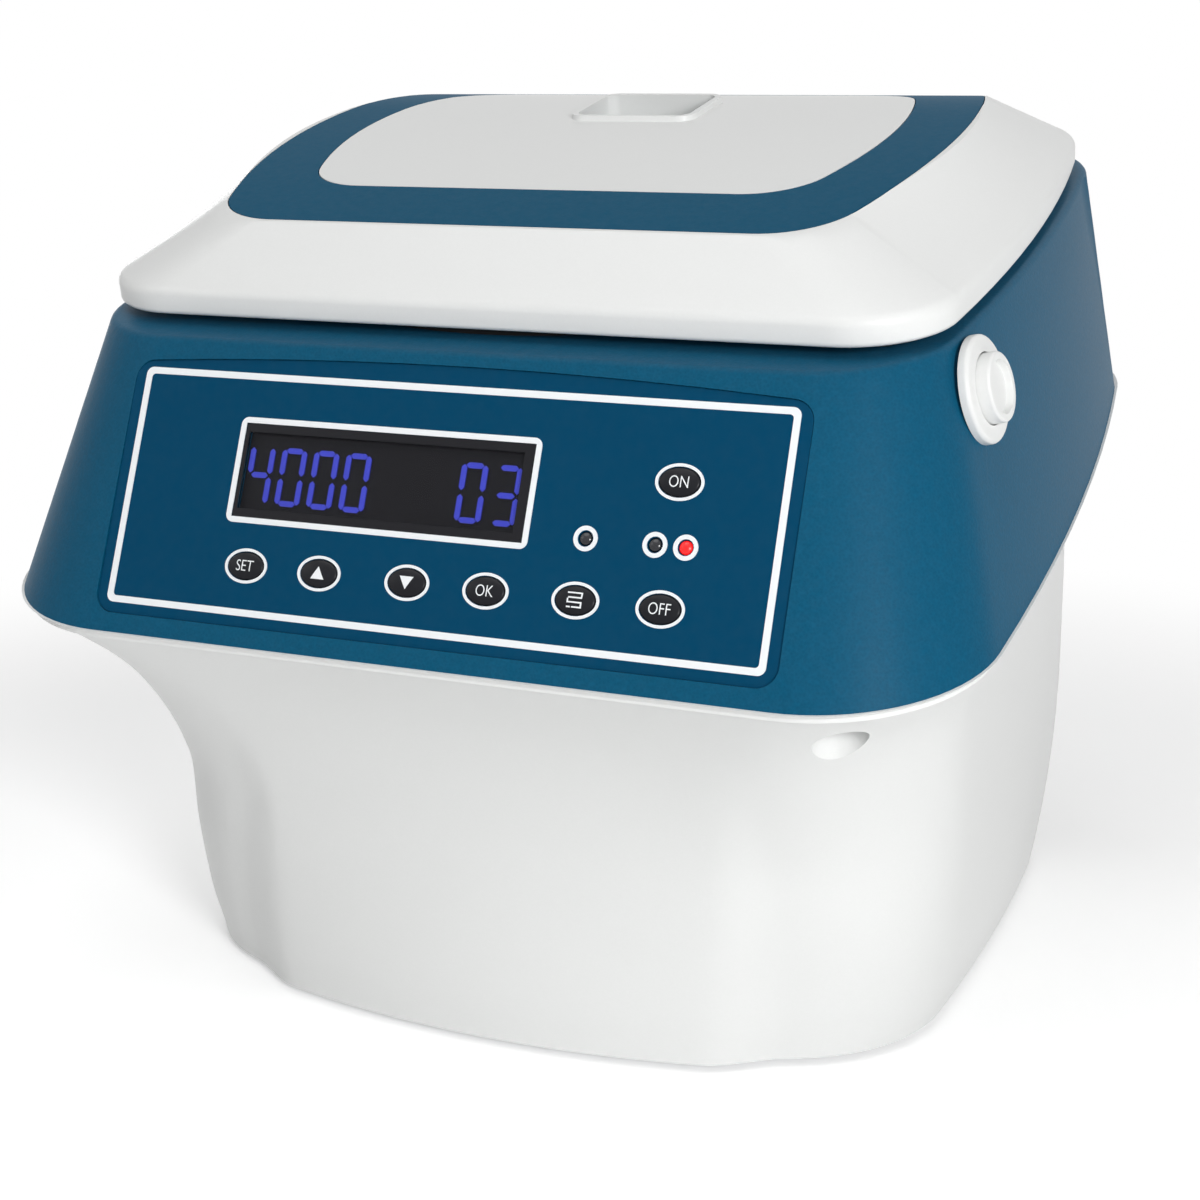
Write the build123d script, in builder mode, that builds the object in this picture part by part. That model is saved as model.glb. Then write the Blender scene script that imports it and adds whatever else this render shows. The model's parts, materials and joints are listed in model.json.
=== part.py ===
from build123d import *
import math
import os

# Microplate centrifuge. Units mm, +Z up, front towards -Y, release button on +X.
# The origin is on the floor, under the middle of the case.

os.makedirs("parts", exist_ok=True)

# ------------------------------------------------------------ driving sizes
tilt = 11.5              # slope of the case joint, the deck and the lid rim, degrees
case_front = -195.5      # case outline at the joint, front and rear
case_rear = 195.5
case_side = 206.0        # half width amidships
case_front_in = 9.0      # how far the bowed sides have drawn in by the front and rear
case_rear_in = 16.0
case_front_r = 66.0
case_rear_r = 72.0
joint_z = 212.0          # heights of the sloping planes above the origin
deck_z = 311.0
rim_z = 315.0
deck_front = -149.0      # deck outline
deck_rear = 186.0
deck_side = 182.0
deck_front_in = 12.0
deck_rear_in = 10.0
deck_front_r = 48.0
deck_rear_r = 60.0
deck_t = 4.0
deck_r = 3.2             # rounding of the deck edge
reveal = 1.0             # lower case edge left showing under the upper case
wall = 3.0               # lower case wall
skin = 4.5               # upper case wall
foot_h = 8.0             # feet, from the floor to the base plate
case_z = 3.0             # bottom edge of the lower case
plate_t = 2.5            # base plate
foot_x = 128.0
foot_y = (-72.0, 140.0)
body_front = -125.0      # upright part of the lower case
body_rear = 190.0
body_side = 181.0
body_front_in = 11.0
body_rear_in = 5.0
body_taper = 9.0         # how far the sides draw in at the floor
body_r = 74.0
body_rear_r = 66.0
bow_half = 92.0          # proud front: half width up to its shoulders
bow_step = 13.0          # how far the shoulders and the middle stand out at the floor
bow_rise = 11.0
bow_top = 0.85           # height where it has faded out, as a share
bow_turn = 22.0          # turn of the corner where the shoulders run out, degrees
flat_turn = 6.0          # and where the front is flat
bow_edge = 5.0           # flat front left beside the corners
bow_pull = 0.36          # softness of the shoulders

deck_ledge = 13.65       # deck left free in front of the lid rim
hinge_room = 14.81       # and behind it, for the hinges
hinge_out = 8.8          # hinge axis behind the lid rim
side_reveal = 2.0        # lid rim inside the deck edge, at the sides
lid_front_r = 38.0
lid_rear_r = 52.0
rim_h = 10.0             # upright band of the lid
rim_r = 5.0              # rounding of its upper and lower edges
rim_low_r = 2.0
top_h = 43.0             # height where the sloping skirt would end
top_front = -97.0
top_rear = 113.0
top_side = 149.0
top_front_r = 34.0
top_rear_r = 40.0
top_front_x = 104.0
top_rear_x = 120.0
crown_v = 48.0           # highest line of the lid, along the slope
crown_h = 41.0
lid_t = 3.2

axis_y = 18.0            # rotor axis
plate_l = 128.6          # microplate nest
plate_w = 86.3
carrier_end = 1.7        # carrier walls round the nest: ends and sides
carrier_wall = 2.85
arm_w = 18.0             # rotor arm between the carriers
arm_room = 8.0           # from the arm to a carrier
sweep_room = 6.58        # from the carriers to the bowl
bowl_t = 2.0
bowl_z = 160.0
bowl_corner = 12.0
bowl_lip = 10.0          # flange of the bowl under the deck
hang_z = 226.0           # carrier trunnions
shaft_r = 6.0
run_fit = 0.05           # radial clearance of running fits
gap = 0.4                # clearance between neighbouring mouldings
seat = 0.1               # parts seated on the rear wall

panel_z = 226.4          # centre of the control panel
panel_w = 264.0
panel_h = 90.8
pocket_d = 2.0
overlay_t = 1.2
key_a = 7.5              # key cap half axes
key_b = 5.1
key_row = -27.6
key_x = (-74.2, -42.7, -6.0, 25.7, 60.7, 92.6)
on_key = (92.9, 17.5)
key_travel = 0.4
led_x = (61.0, 87.2, 98.6)
led_y = -5.3
disp_x = -23.8
disp_y = 9.1
disp_w = 123.4
disp_h = 38.6

button_y = -100.0        # release button
button_z = 271.0
button_in = 2.7648       # its middle inside the widest line of the side wall
button_turn = 8.0
button_dip = 0.627       # turned down from the slope of the side wall, degrees
button_r = 12.8
bezel_r = 19.8
button_travel = 5.0

bezel_seat = 1.5
tube_r = 15.3            # tube that guides the button
stem_gap = 1.9           # between the stem of the button and the hook

lock_room = 11.5         # lid lock: from the bowl to the hook
lock_back = 21.0         # and from the front of the bowl back to the hook
lock_w = 14.4            # across the lock bracket
lock_slot = 10.0
hook_z = 236.0
hook_reach = 4.5         # from the hook to the middle of the striker
well_in = 53.0           # well of the hand release, from the side and the front of the case
well_back = 32.5
well_r = 10.0

inlay_t = 2.5
liner_t = 2.5
pan_r = 118.0
view_v = 51.0            # sight window in the lid, along the slope
view_w = 52.0
view_l = 41.0
view_z = 30.5
hinge_x = 94.0
hinge_h = 5.5            # hinge axis over the lid rim

digit_w = 10.6
digit_h = 22.5
bar_t = 2.1
digit_pitch = 13.8
digit_left = 9.1         # first and last digit, from the ends of the display
digit_right = 11.1
digit_text = "400003"

inlet_x = -78.0          # mains inlet and switch in the rear wall
inlet_z = 62.0
inlet_w = 28.0
inlet_h = 32.0
switch_z = 108.0
switch_w = 28.0
switch_h = 22.0
switch_y = 187.0         # rocker axis
rocker_r = 9.5
fan_x = 50.0
fan_z = 95.0
fan_w = 80.0
fan_t = 25.0
rocker_swing = 16.0
supply_in = 59.0         # power supply and main board, from the sides of the lower case
supply_y = 62.0
board_in = 65.0
board_y = 18.0
screw_x = 70.0           # base screws: in the front and rear ledges, and in the side ones
screw_in = 18.0
screw_front = 15.0
screw_rear = 9.0
screw_y = 31.0

slope = math.radians(tilt)
rise = math.tan(slope)
stretch = 1 / math.cos(slope)

case_front_x = case_side - case_front_in
case_rear_x = case_side - case_rear_in
deck_front_x = deck_side - deck_front_in
deck_rear_x = deck_side - deck_rear_in
body_front_x = body_side - body_front_in
body_rear_x = body_side - body_rear_in
supply_x = supply_in - body_side
board_x = body_side - board_in
well_x = case_side - well_in
well_y = case_front + well_back
button_up = (button_z - joint_z - button_y * rise) / (deck_z - joint_z)
button_x = case_side + (deck_side - case_side) * button_up - button_in
button_rise = math.degrees(math.atan2(case_side - deck_side, deck_z - joint_z)) - button_dip
digit_x = [digit_left - disp_w / 2 + digit_pitch * i for i in range(4)]
digit_x += [disp_w / 2 - digit_right - digit_pitch, disp_w / 2 - digit_right]
lid_front = deck_front * stretch + deck_ledge
lid_rear = deck_rear * stretch - hinge_room
lid_side = deck_side - side_reveal
lid_front_x = deck_front_x + 1
lid_rear_x = deck_rear_x - 4
hinge_v = lid_rear + hinge_out
carrier_l = plate_l + 2 * carrier_end
carrier_w = plate_w + 2 * carrier_wall
hang_x = (arm_w + carrier_w) / 2 + arm_room
bowl_r = math.hypot(hang_x + carrier_w / 2, carrier_l / 2) + sweep_room
hook_x = bowl_r + lock_room
lock_y = axis_y - bowl_r + lock_back
striker_x = hook_x + hook_reach
striker_v = lock_y * stretch - 4.5
screw_spots = [(-screw_x, body_front + screw_front), (screw_x, body_front + screw_front),
               (screw_in - body_side, screw_y), (body_side - screw_in, screw_y),
               (-screw_x, body_rear - screw_rear), (screw_x, body_rear - screw_rear)]


# ------------------------------------------------------------ helpers
def sloped(height, x=0.0):
    """Plane parallel to the deck whose origin is over the middle of the base."""
    return Plane(origin=(x, 0, height), x_dir=(1, 0, 0), z_dir=(0, -math.sin(slope), math.cos(slope)))


def side_plane(height, x):
    """Plane square to X: its x runs up the slope, its y out of the deck."""
    return Plane(origin=(x, 0, height), x_dir=(0, math.cos(slope), math.sin(slope)), z_dir=(1, 0, 0))


def outline(front, rear, front_x, side, rear_x, front_r, rear_r, k=1.0):
    """Closed plan: straight front and rear, bowed sides, rounded corners."""
    mid = (front + rear) / 2
    with BuildLine(Plane.XY, mode=Mode.PRIVATE) as edge:
        Line((-front_x, front * k), (front_x, front * k))
        ThreePointArc((front_x, front * k), (side, mid * k), (rear_x, rear * k))
        Line((rear_x, rear * k), (-rear_x, rear * k))
        ThreePointArc((-rear_x, rear * k), (-side, mid * k), (-front_x, front * k))
    make_face(edge.edges())
    fillet(vertices().group_by(Axis.Y)[0], front_r)
    fillet(vertices().group_by(Axis.Y)[-1], rear_r)


def joint_outline(inset=0.0):
    outline(case_front + inset, case_rear - inset, case_front_x - inset, case_side - inset,
            case_rear_x - inset, case_front_r - inset, case_rear_r - inset, stretch)


def deck_outline(inset=0.0):
    outline(deck_front + inset, deck_rear - inset, deck_front_x - inset, deck_side - inset,
            deck_rear_x - inset, deck_front_r - inset, deck_rear_r - inset, stretch)


def rim_outline(inset=0.0):
    outline(lid_front + inset, lid_rear - inset, lid_front_x - inset, lid_side - inset,
            lid_rear_x - inset, lid_front_r - inset, lid_rear_r - inset)


def top_outline(inset=0.0):
    outline(top_front + inset, top_rear - inset, top_front_x - inset, top_side - inset,
            top_rear_x - inset, top_front_r - inset, top_rear_r - inset)


def ring_outline(inset=0.0):
    outline(top_front - 12.5 + inset, top_rear + 18 - inset, top_front_x + 20 - inset, top_side - inset,
            top_rear_x + 10 - inset, top_front_r - inset, top_rear_r - inset)


def cap_outline(inset=0.0):
    outline(top_front + 27 + inset, top_rear - 7 - inset, top_front_x - 2 - inset, top_side - 28 - inset,
            top_rear_x - 16 - inset, top_front_r - 4 - inset, top_rear_r - 6 - inset)


def panel_outline(inset=0.0):
    """Pocket of the control panel: straight sides, upper edge slightly bowed."""
    w = panel_w / 2 + 6 - inset
    low = inset - panel_h / 2 - 5.6
    high = panel_h / 2 + 3.6 - inset
    with BuildLine(Plane.XY, mode=Mode.PRIVATE) as edge:
        Polyline((-w, high), (-w, low), (w, low), (w, high))
        ThreePointArc((w, high), (0, high + 5), (-w, high))
    make_face(edge.edges())
    fillet(vertices(), 8 - inset)


def crown_profile(drop=0.0):
    """Area under the curved top of the lid, lowered by drop."""
    top = crown_h - drop
    front = lid_front - 21.6
    rear = lid_rear - 10
    with BuildLine(Plane.XY, mode=Mode.PRIVATE) as edge:
        ThreePointArc((front, top - 16.1), (crown_v - 104, top - 4), (crown_v, top))
        ThreePointArc((crown_v, top), (crown_v + 56, top - 5), (rear, top - 22))
        Polyline((rear, top - 22), (rear + 35, top - 31), (rear + 35, -20), (front, -20), (front, top - 16.1))
    make_face(edge.edges())


def flare(s, reach):
    """Share of the overhang reached at height s: 0 on the upright wall, 1 at the joint."""
    return max(0.0, 1 - (1 - s) / reach) ** 1.5


def level(s):
    """Fan of section planes: level at the case bottom, parallel to the deck at the joint."""
    front_z = case_z + s * (joint_z + case_front * rise - case_z)
    rear_z = case_z + s * (joint_z + case_rear * rise - case_z)
    lean = math.atan2(rear_z - front_z, case_rear - case_front)
    return Plane(origin=(0, 0, (front_z + rear_z) / 2), x_dir=(1, 0, 0),
                 z_dir=(0, -math.sin(lean), math.cos(lean)))


def body_front_at(s):
    draw = body_taper * max(0.0, 1 - s / 0.42) ** 2
    return body_front + 0.7 * draw + (case_front - body_front) * flare(s, 0.6)


def body_outline(s, inset=0.0):
    """Plan of the lower case at height s: bowed front, soft shoulders, rounded corners."""
    draw = body_taper * max(0.0, 1 - s / 0.42) ** 2 + inset
    out_front = flare(s, 0.6)
    out_side = flare(s, 0.22)
    k = 1 / level(s).z_dir.Z
    front = (body_front_at(s) + inset) * k
    rear = (body_rear - inset + (case_rear - body_rear) * out_side) * k
    front_x = body_front_x - draw + (case_front_x - body_front_x) * out_front
    side = body_side - draw + (case_side - body_side) * out_side
    rear_x = body_rear_x - draw + (case_rear_x - body_rear_x) * out_side
    r = body_r - inset + (case_front_r - body_r) * out_front
    # circle of the side wall, and the corner circle that touches it and the front
    mid = (front + rear) / 2
    with BuildLine(Plane.XY, mode=Mode.PRIVATE) as wall_arc:
        flank = ThreePointArc((front_x, front), (side, mid), (rear_x, rear))
    arc_x, arc_y, arc_r = flank.arc_center.X, flank.arc_center.Y, flank.radius
    hand = math.copysign(1, side - arc_x)
    corner_y = front + r
    corner_x = arc_x + hand * math.sqrt((arc_r - hand * r) ** 2 - (corner_y - arc_y) ** 2)
    reach = arc_r / math.hypot(corner_x - arc_x, corner_y - arc_y)
    touch = (arc_x + (corner_x - arc_x) * reach, arc_y + (corner_y - arc_y) * reach)
    # shoulder: from the bow to the corner circle, tangent to both
    rest = max(0.0, 1 - s / bow_top)
    fade = max(0.005, rest ** 2 * (3 - 2 * rest))
    shoulder_x = bow_half * fade + (corner_x - bow_edge) * (1 - fade)
    shoulder_y = front - bow_step * fade
    lean = 2 * math.atan(bow_rise * fade / shoulder_x)
    turn_in = math.radians(flat_turn + (bow_turn - flat_turn) * fade)
    end = (corner_x + r * math.sin(turn_in), corner_y - r * math.cos(turn_in))
    pull = bow_pull * (end[0] - shoulder_x)
    lead = (shoulder_x + pull * math.cos(lean), shoulder_y + pull * math.sin(lean))
    trail = (end[0] - pull * math.cos(turn_in), end[1] - pull * math.sin(turn_in))
    between = (turn_in + math.atan2(touch[0] - corner_x, corner_y - touch[1])) / 2
    corner_mid = (corner_x + r * math.sin(between), corner_y - r * math.cos(between))
    half_way = (math.atan2(touch[1] - arc_y, hand * (touch[0] - arc_x))
                + math.atan2(rear - arc_y, hand * (rear_x - arc_x))) / 2
    flank_mid = (arc_x + hand * arc_r * math.cos(half_way), arc_y + arc_r * math.sin(half_way))
    with BuildLine(Plane.XY, mode=Mode.PRIVATE) as plan:
        ThreePointArc((-shoulder_x, shoulder_y), (0, shoulder_y - bow_rise * fade),
                      (shoulder_x, shoulder_y))
        for side_x in (1, -1):
            Bezier((side_x * shoulder_x, shoulder_y), (side_x * lead[0], lead[1]),
                   (side_x * trail[0], trail[1]), (side_x * end[0], end[1]))
            ThreePointArc((side_x * end[0], end[1]), (side_x * corner_mid[0], corner_mid[1]),
                          (side_x * touch[0], touch[1]))
            ThreePointArc((side_x * touch[0], touch[1]), (side_x * flank_mid[0], flank_mid[1]),
                          (side_x * rear_x, rear))
        Line((rear_x, rear), (-rear_x, rear))
    make_face(plan.edges())
    fillet(vertices().group_by(Axis.Y)[-1], body_rear_r - inset)


sections = [i / 12 for i in range(13)]

# ------------------------------------------------------------ reference planes
face_low = (case_front + reveal, joint_z + (case_front + reveal) * rise)
face_high = (deck_front, deck_z + deck_front * rise)
face_lean = math.atan2(face_high[0] - face_low[0], face_high[1] - face_low[1])
face_y = face_low[0] + (panel_z - face_low[1]) * math.tan(face_lean)
face = Plane(origin=(0, face_y, panel_z), x_dir=(1, 0, 0),
             z_dir=(0, -math.cos(face_lean), math.sin(face_lean)))
pocket = face.offset(-pocket_d)
overlay_top = face.offset(overlay_t - pocket_d)
face_back = face.offset(-skin)

turn = math.radians(button_turn)
lift = math.radians(button_rise)
push = Plane(origin=(button_x, button_y, button_z), x_dir=(math.sin(turn), math.cos(turn), 0),
             z_dir=(math.cos(lift) * math.cos(turn), -math.cos(lift) * math.sin(turn), math.sin(lift)))

axis_plane = Plane(origin=(0, axis_y, 0), x_dir=(1, 0, 0), z_dir=(0, -1, 0))
rotor_axis = Axis((0, axis_y, 0), (0, 0, 1))
keys = [(x, key_row) for x in key_x] + [on_key]
deck_h = (rim_z - deck_z) * math.cos(slope)
lid_bosses = [(x, v) for x, v in ((120, lid_front + 26.4), (lid_side - 19, 30), (118, lid_rear - 25))]
lid_bosses += [(-x, v) for x, v in lid_bosses]
mouth_z = hang_z + 14
lid_up = Axis((0, 0, rim_z), sloped(rim_z).z_dir)
stem_l = (button_x - hook_x) / push.z_dir.X - stem_gap
bars = [(0, (digit_h - bar_t) / 2, False), ((digit_w - bar_t) / 2, digit_h / 4, True),
        ((digit_w - bar_t) / 2, -digit_h / 4, True), (0, -(digit_h - bar_t) / 2, False),
        (-(digit_w - bar_t) / 2, -digit_h / 4, True), (-(digit_w - bar_t) / 2, digit_h / 4, True), (0, 0, False)]
segments = {"0": "012345", "3": "01236", "4": "1256"}

# ------------------------------------------------------------ lower case
with BuildPart() as lower_hollow:
    for s in [-1 / 12] + sections + [13 / 12]:
        with BuildSketch(level(s)):
            body_outline(s, wall)
    loft()
    with BuildSketch(Plane.XY.offset(100)):
        with Locations((well_x, well_y)):
            Circle(well_r + 2.5)
    extrude(amount=86, mode=Mode.SUBTRACT)

with BuildPart() as lower_case:
    for s in sections:
        with BuildSketch(level(s)):
            body_outline(s)
    loft()
    add(lower_hollow.part, mode=Mode.SUBTRACT)
    # flange that carries the upper case
    with BuildSketch(sloped(joint_z)):
        joint_outline(wall - 0.5)
    extrude(amount=-4)
    with BuildSketch(sloped(joint_z)):
        joint_outline(18)
    extrude(amount=-4, mode=Mode.SUBTRACT)
    # ledge over the base plate
    with BuildSketch(Plane.XY.offset(foot_h + plate_t)):
        body_outline(0.06, wall - 0.5)
    extrude(amount=3)
    with BuildSketch(Plane.XY.offset(foot_h + plate_t)):
        body_outline(0.0, 16)
    extrude(amount=3, mode=Mode.SUBTRACT)
    # well of the hand release, under the overhang
    with BuildSketch(Plane.XY.offset(110)):
        with Locations((well_x, well_y)):
            Circle(well_r)
    extrude(amount=74, mode=Mode.SUBTRACT)
    # rear openings: mains inlet, switch and fan
    with BuildSketch(Plane.XZ.offset(-(body_rear + 10))):
        with Locations((inlet_x, inlet_z)):
            Rectangle(inlet_w + gap, inlet_h + gap)
        with Locations((inlet_x, switch_z)):
            Rectangle(switch_w + gap, switch_h + gap)
        for i in range(-4, 5):
            with Locations((fan_x, fan_z + fan_w / 10 * i)):
                SlotOverall(2 * math.sqrt((fan_w / 2 - 4) ** 2 - (fan_w / 10 * i) ** 2), 4.2)
    extrude(amount=30, mode=Mode.SUBTRACT)
    with BuildSketch(Plane.XY.offset(foot_h + plate_t)):
        with Locations(*screw_spots):
            Circle(1.9)
    extrude(amount=3, mode=Mode.SUBTRACT)
lower_case.part.label = "lower_case"
export_step(lower_case.part, "parts/lower_case.step")

# ------------------------------------------------------------ base plate, feet, screws
with BuildPart() as base_plate:
    with BuildSketch(Plane.XY.offset(foot_h)):
        body_outline(0.0, wall + 1)
        with Locations(*screw_spots):
            Circle(2.2, mode=Mode.SUBTRACT)
        with GridLocations(14, 1, 9, 1):
            with Locations((0, -82)):
                SlotOverall(38, 4, rotation=90, mode=Mode.SUBTRACT)
    extrude(amount=plate_t)
base_plate.part.label = "base_plate"
export_step(base_plate.part, "parts/base_plate.step")

with BuildPart() as feet:
    with BuildSketch():
        with Locations(*[(x, y) for x in (-foot_x, foot_x) for y in foot_y]):
            Circle(15)
    extrude(amount=foot_h, taper=-4)
    chamfer(faces().sort_by(Axis.Z)[:4].edges(), 1)
feet.part.label = "feet"
export_step(feet.part, "parts/feet.step")

with BuildPart() as base_screws:
    with BuildSketch(Plane.XY.offset(foot_h)):
        with Locations(*screw_spots):
            Circle(4)
    extrude(amount=-2.2)
    with BuildSketch(Plane.XY.offset(foot_h)):
        with Locations(*screw_spots):
            Circle(1.8)
    extrude(amount=9)
base_screws.part.label = "base_screws"
export_step(base_screws.part, "parts/base_screws.step")

# ------------------------------------------------------------ upper case
with BuildPart() as upper_hollow:
    with BuildSketch(sloped(joint_z - 1)):
        joint_outline(reveal + skin)
    with BuildSketch(sloped(deck_z - deck_t)):
        deck_outline(skin)
    loft(ruled=True)

with BuildPart() as upper_case:
    with BuildSketch(sloped(joint_z)):
        joint_outline(reveal)
    with BuildSketch(sloped(deck_z)):
        deck_outline()
    loft(ruled=True)
    fillet(faces().sort_by(Axis.Z)[-1].edges(), deck_r)
    add(upper_hollow.part, mode=Mode.SUBTRACT)
    # chamber mouth
    with BuildSketch(Plane.XY.offset(mouth_z)):
        with Locations((0, axis_y)):
            Circle(bowl_r + bowl_t + gap / 2)
    extrude(amount=deck_z - mouth_z + 80, mode=Mode.SUBTRACT)
    # flat back behind the control panel
    with BuildSketch(face_back):
        panel_outline(1)
    extrude(amount=-3, mode=Mode.SUBTRACT)
    # control panel pocket with a bowed top edge
    with BuildSketch(pocket):
        panel_outline()
    extrude(amount=pocket_d + 1, mode=Mode.SUBTRACT)
    with BuildSketch(pocket):
        with Locations((disp_x, disp_y)):
            Rectangle(disp_w - 5, disp_h - 7)
        with Locations(*keys):
            Ellipse(key_a + 0.35, key_b + 0.35)
        with Locations(*[(x, led_y) for x in led_x]):
            Circle(2.7)
    extrude(amount=-skin, mode=Mode.SUBTRACT)
    # seat and hole of the release button
    with BuildSketch(push.offset(-bezel_seat)):
        Circle(bezel_r + gap / 2)
    extrude(amount=12, mode=Mode.SUBTRACT)
    with BuildSketch(push.offset(-bezel_seat)):
        Circle(tube_r + gap / 2)
    extrude(amount=-12, mode=Mode.SUBTRACT)
    # slot for the lid striker
    with BuildSketch(sloped(deck_z + 3)):
        with Locations((striker_x, striker_v - 4)):
            RectangleRounded(9, 32, 2)
    extrude(amount=-11, mode=Mode.SUBTRACT)
upper_case.part.label = "upper_case"
export_step(upper_case.part, "parts/upper_case.step")

# ------------------------------------------------------------ control panel
with BuildPart() as panel_overlay:
    with BuildSketch(pocket):
        panel_outline(gap / 2)
        with Locations((disp_x, disp_y)):
            Rectangle(disp_w - 2.2, disp_h - 2.2, mode=Mode.SUBTRACT)
        with Locations(*keys):
            Ellipse(key_a + 0.35, key_b + 0.35, mode=Mode.SUBTRACT)
        with Locations(*[(x, led_y) for x in led_x]):
            Circle(2.7, mode=Mode.SUBTRACT)
    extrude(amount=overlay_t)
panel_overlay.part.label = "panel_overlay"
export_step(panel_overlay.part, "parts/panel_overlay.step")

with BuildPart() as panel_print:
    with BuildSketch(overlay_top):
        RectangleRounded(panel_w + 2.6, panel_h + 2.6, 3)
        RectangleRounded(panel_w - 2.6, panel_h - 2.6, 1.5, mode=Mode.SUBTRACT)
        with Locations((disp_x, disp_y)):
            RectangleRounded(disp_w + 2.2, disp_h + 2.2, 3)
            Rectangle(disp_w - 2.2, disp_h - 2.2, mode=Mode.SUBTRACT)
        with Locations(*keys):
            Ellipse(key_a + 1.6, key_b + 1.6)
            Ellipse(key_a + 0.5, key_b + 0.5, mode=Mode.SUBTRACT)
        with Locations(*[(x, led_y) for x in led_x]):
            Circle(4.6)
            Circle(3.0, mode=Mode.SUBTRACT)
    extrude(amount=0.3)
panel_print.part.label = "panel_print"
export_step(panel_print.part, "parts/panel_print.step")

with BuildPart() as display_window:
    with BuildSketch(pocket):
        with Locations((disp_x, disp_y)):
            Rectangle(disp_w - 2.6, disp_h - 2.6)
    extrude(amount=overlay_t)
display_window.part.label = "display_window"
export_step(display_window.part, "parts/display_window.step")

with BuildPart() as display_module:
    with BuildSketch(face_back):
        with Locations((disp_x, disp_y)):
            Rectangle(disp_w, disp_h)
    extrude(amount=-7)
    with BuildSketch(face_back):
        with Locations((disp_x, disp_y)):
            Rectangle(disp_w - 5.6, disp_h - 7.6)
    extrude(amount=skin - pocket_d - 0.9)
    with BuildSketch(face_back.offset(-7)):
        with Locations((disp_x, disp_y)):
            Rectangle(disp_w + 14, disp_h + 4)
    extrude(amount=-1.6)
display_module.part.label = "display_module"
export_step(display_module.part, "parts/display_module.step")

with BuildPart() as display_digits:
    with BuildSketch(pocket.offset(-0.9)):
        for x, digit in zip(digit_x, digit_text):
            for n in segments[digit]:
                mid_x, mid_y, upright = bars[int(n)]
                with Locations((disp_x + x + mid_x, disp_y - 1.3 + mid_y)):
                    if upright:
                        Rectangle(bar_t, digit_h / 2 - 3)
                    else:
                        Rectangle(digit_w - 2 * bar_t - 0.8, bar_t)
    extrude(amount=0.5)
display_digits.part.label = "display_digits"
export_step(display_digits.part, "parts/display_digits.step")

with BuildPart() as key_board:
    with BuildSketch(face_back.offset(-3.2)):
        with Locations((9, key_row)):
            Rectangle(196, 15)
        with Locations((80, -4)):
            Rectangle(54, 62)
    extrude(amount=-1.6)
    with BuildSketch(face_back.offset(-3.2)):
        with Locations(*keys):
            Circle(3)
    extrude(amount=1.2)
    with BuildSketch(face_back):
        with Locations((-86, key_row - 4.5), (104, key_row - 4.5), (104, 24), (58, 24)):
            Circle(2.5)
    extrude(amount=-3.2)
key_board.part.label = "key_board"
export_step(key_board.part, "parts/key_board.step")

for name, spot in zip(("set", "up", "down", "ok", "mode", "off", "on"), keys):
    with BuildPart() as key:
        with BuildSketch(face_back.offset(-0.3)):
            with Locations(spot):
                Ellipse(key_a, key_b)
        extrude(amount=skin - pocket_d + overlay_t + 1.1)
        chamfer(faces().sort_by(Axis((0, 0, 0), face.z_dir))[-1].edges(), 0.5)
        with BuildSketch(face_back):
            with Locations(spot):
                Ellipse(key_a + 1.4, key_b + 1.4)
        extrude(amount=-1.2)
    key.part.label = "key_" + name
    export_step(key.part, "parts/key_" + name + ".step")

for name, spots in (("status_lights", led_x[:2]), ("ready_light", led_x[2:])):
    with BuildPart() as light:
        with BuildSketch(face_back.offset(-3.2)):
            with Locations(*[(x, led_y) for x in spots]):
                Circle(2.5)
        extrude(amount=3.2 + skin - pocket_d + overlay_t - 0.2)
    light.part.label = name
    export_step(light.part, "parts/" + name + ".step")

# ------------------------------------------------------------ release button and lid lock
with BuildPart() as release_bezel:
    with BuildSketch(push.offset(-bezel_seat)):
        Circle(bezel_r)
    extrude(amount=bezel_seat + 2.4)
    fillet(faces().sort_by(Axis((0, 0, 0), push.z_dir))[-1].edges(), 1.8)
    with BuildSketch(push.offset(-bezel_seat)):
        Circle(tube_r)
    extrude(amount=-12)
    with BuildSketch(push.offset(-20)):
        Circle(button_r + 0.5)
    extrude(amount=40, mode=Mode.SUBTRACT)
release_bezel.part.label = "release_bezel"
export_step(release_bezel.part, "parts/release_bezel.step")

with BuildPart() as release_button:
    with BuildSketch(push.offset(-bezel_seat - 12)):
        Circle(button_r)
    extrude(amount=bezel_seat + 12 + 7.5)
    fillet(faces().sort_by(Axis((0, 0, 0), push.z_dir))[-1].edges(), 1.2)
    with BuildSketch(push.offset(7.5)):
        Circle(button_r - 3)
    extrude(amount=-2.5, taper=12, mode=Mode.SUBTRACT)
    with BuildSketch(push.offset(-bezel_seat - 12)):
        Circle(tube_r - 0.7)
    extrude(amount=-2.5)
    with BuildSketch(push.offset(-bezel_seat - 14.5)):
        Circle(3.5)
    extrude(amount=-(stem_l - bezel_seat - 14.5))
release_button.part.label = "release_button"
export_step(release_button.part, "parts/release_button.step")

with BuildPart() as latch_hook:
    with BuildSketch(Plane.XZ.offset(-(lock_y + 3))):
        with BuildLine():
            Polyline((hook_x - 7, hook_z - 5), (hook_x, hook_z - 5), (hook_x, hook_z + 39),
                     (striker_x - 2.1, hook_z + 41), (striker_x - 2.1, hook_z + 45),
                     (hook_x - 3, hook_z + 48), (hook_x - 7, hook_z + 48), (hook_x - 7, hook_z - 5))
        make_face()
    extrude(amount=6)
    with BuildSketch(Plane.XZ.offset(-(lock_y + lock_slot / 2 - 0.3))):
        with Locations((hook_x - 3.5, hook_z)):
            Circle(5.5)
    extrude(amount=lock_slot - 0.6)
    with BuildSketch(Plane.XZ.offset(-(lock_y + 10))):
        with Locations((hook_x - 3.5, hook_z)):
            Circle(2.5 + run_fit)
    extrude(amount=20, mode=Mode.SUBTRACT)
latch_hook.part.label = "latch_hook"
export_step(latch_hook.part, "parts/latch_hook.step")

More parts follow.
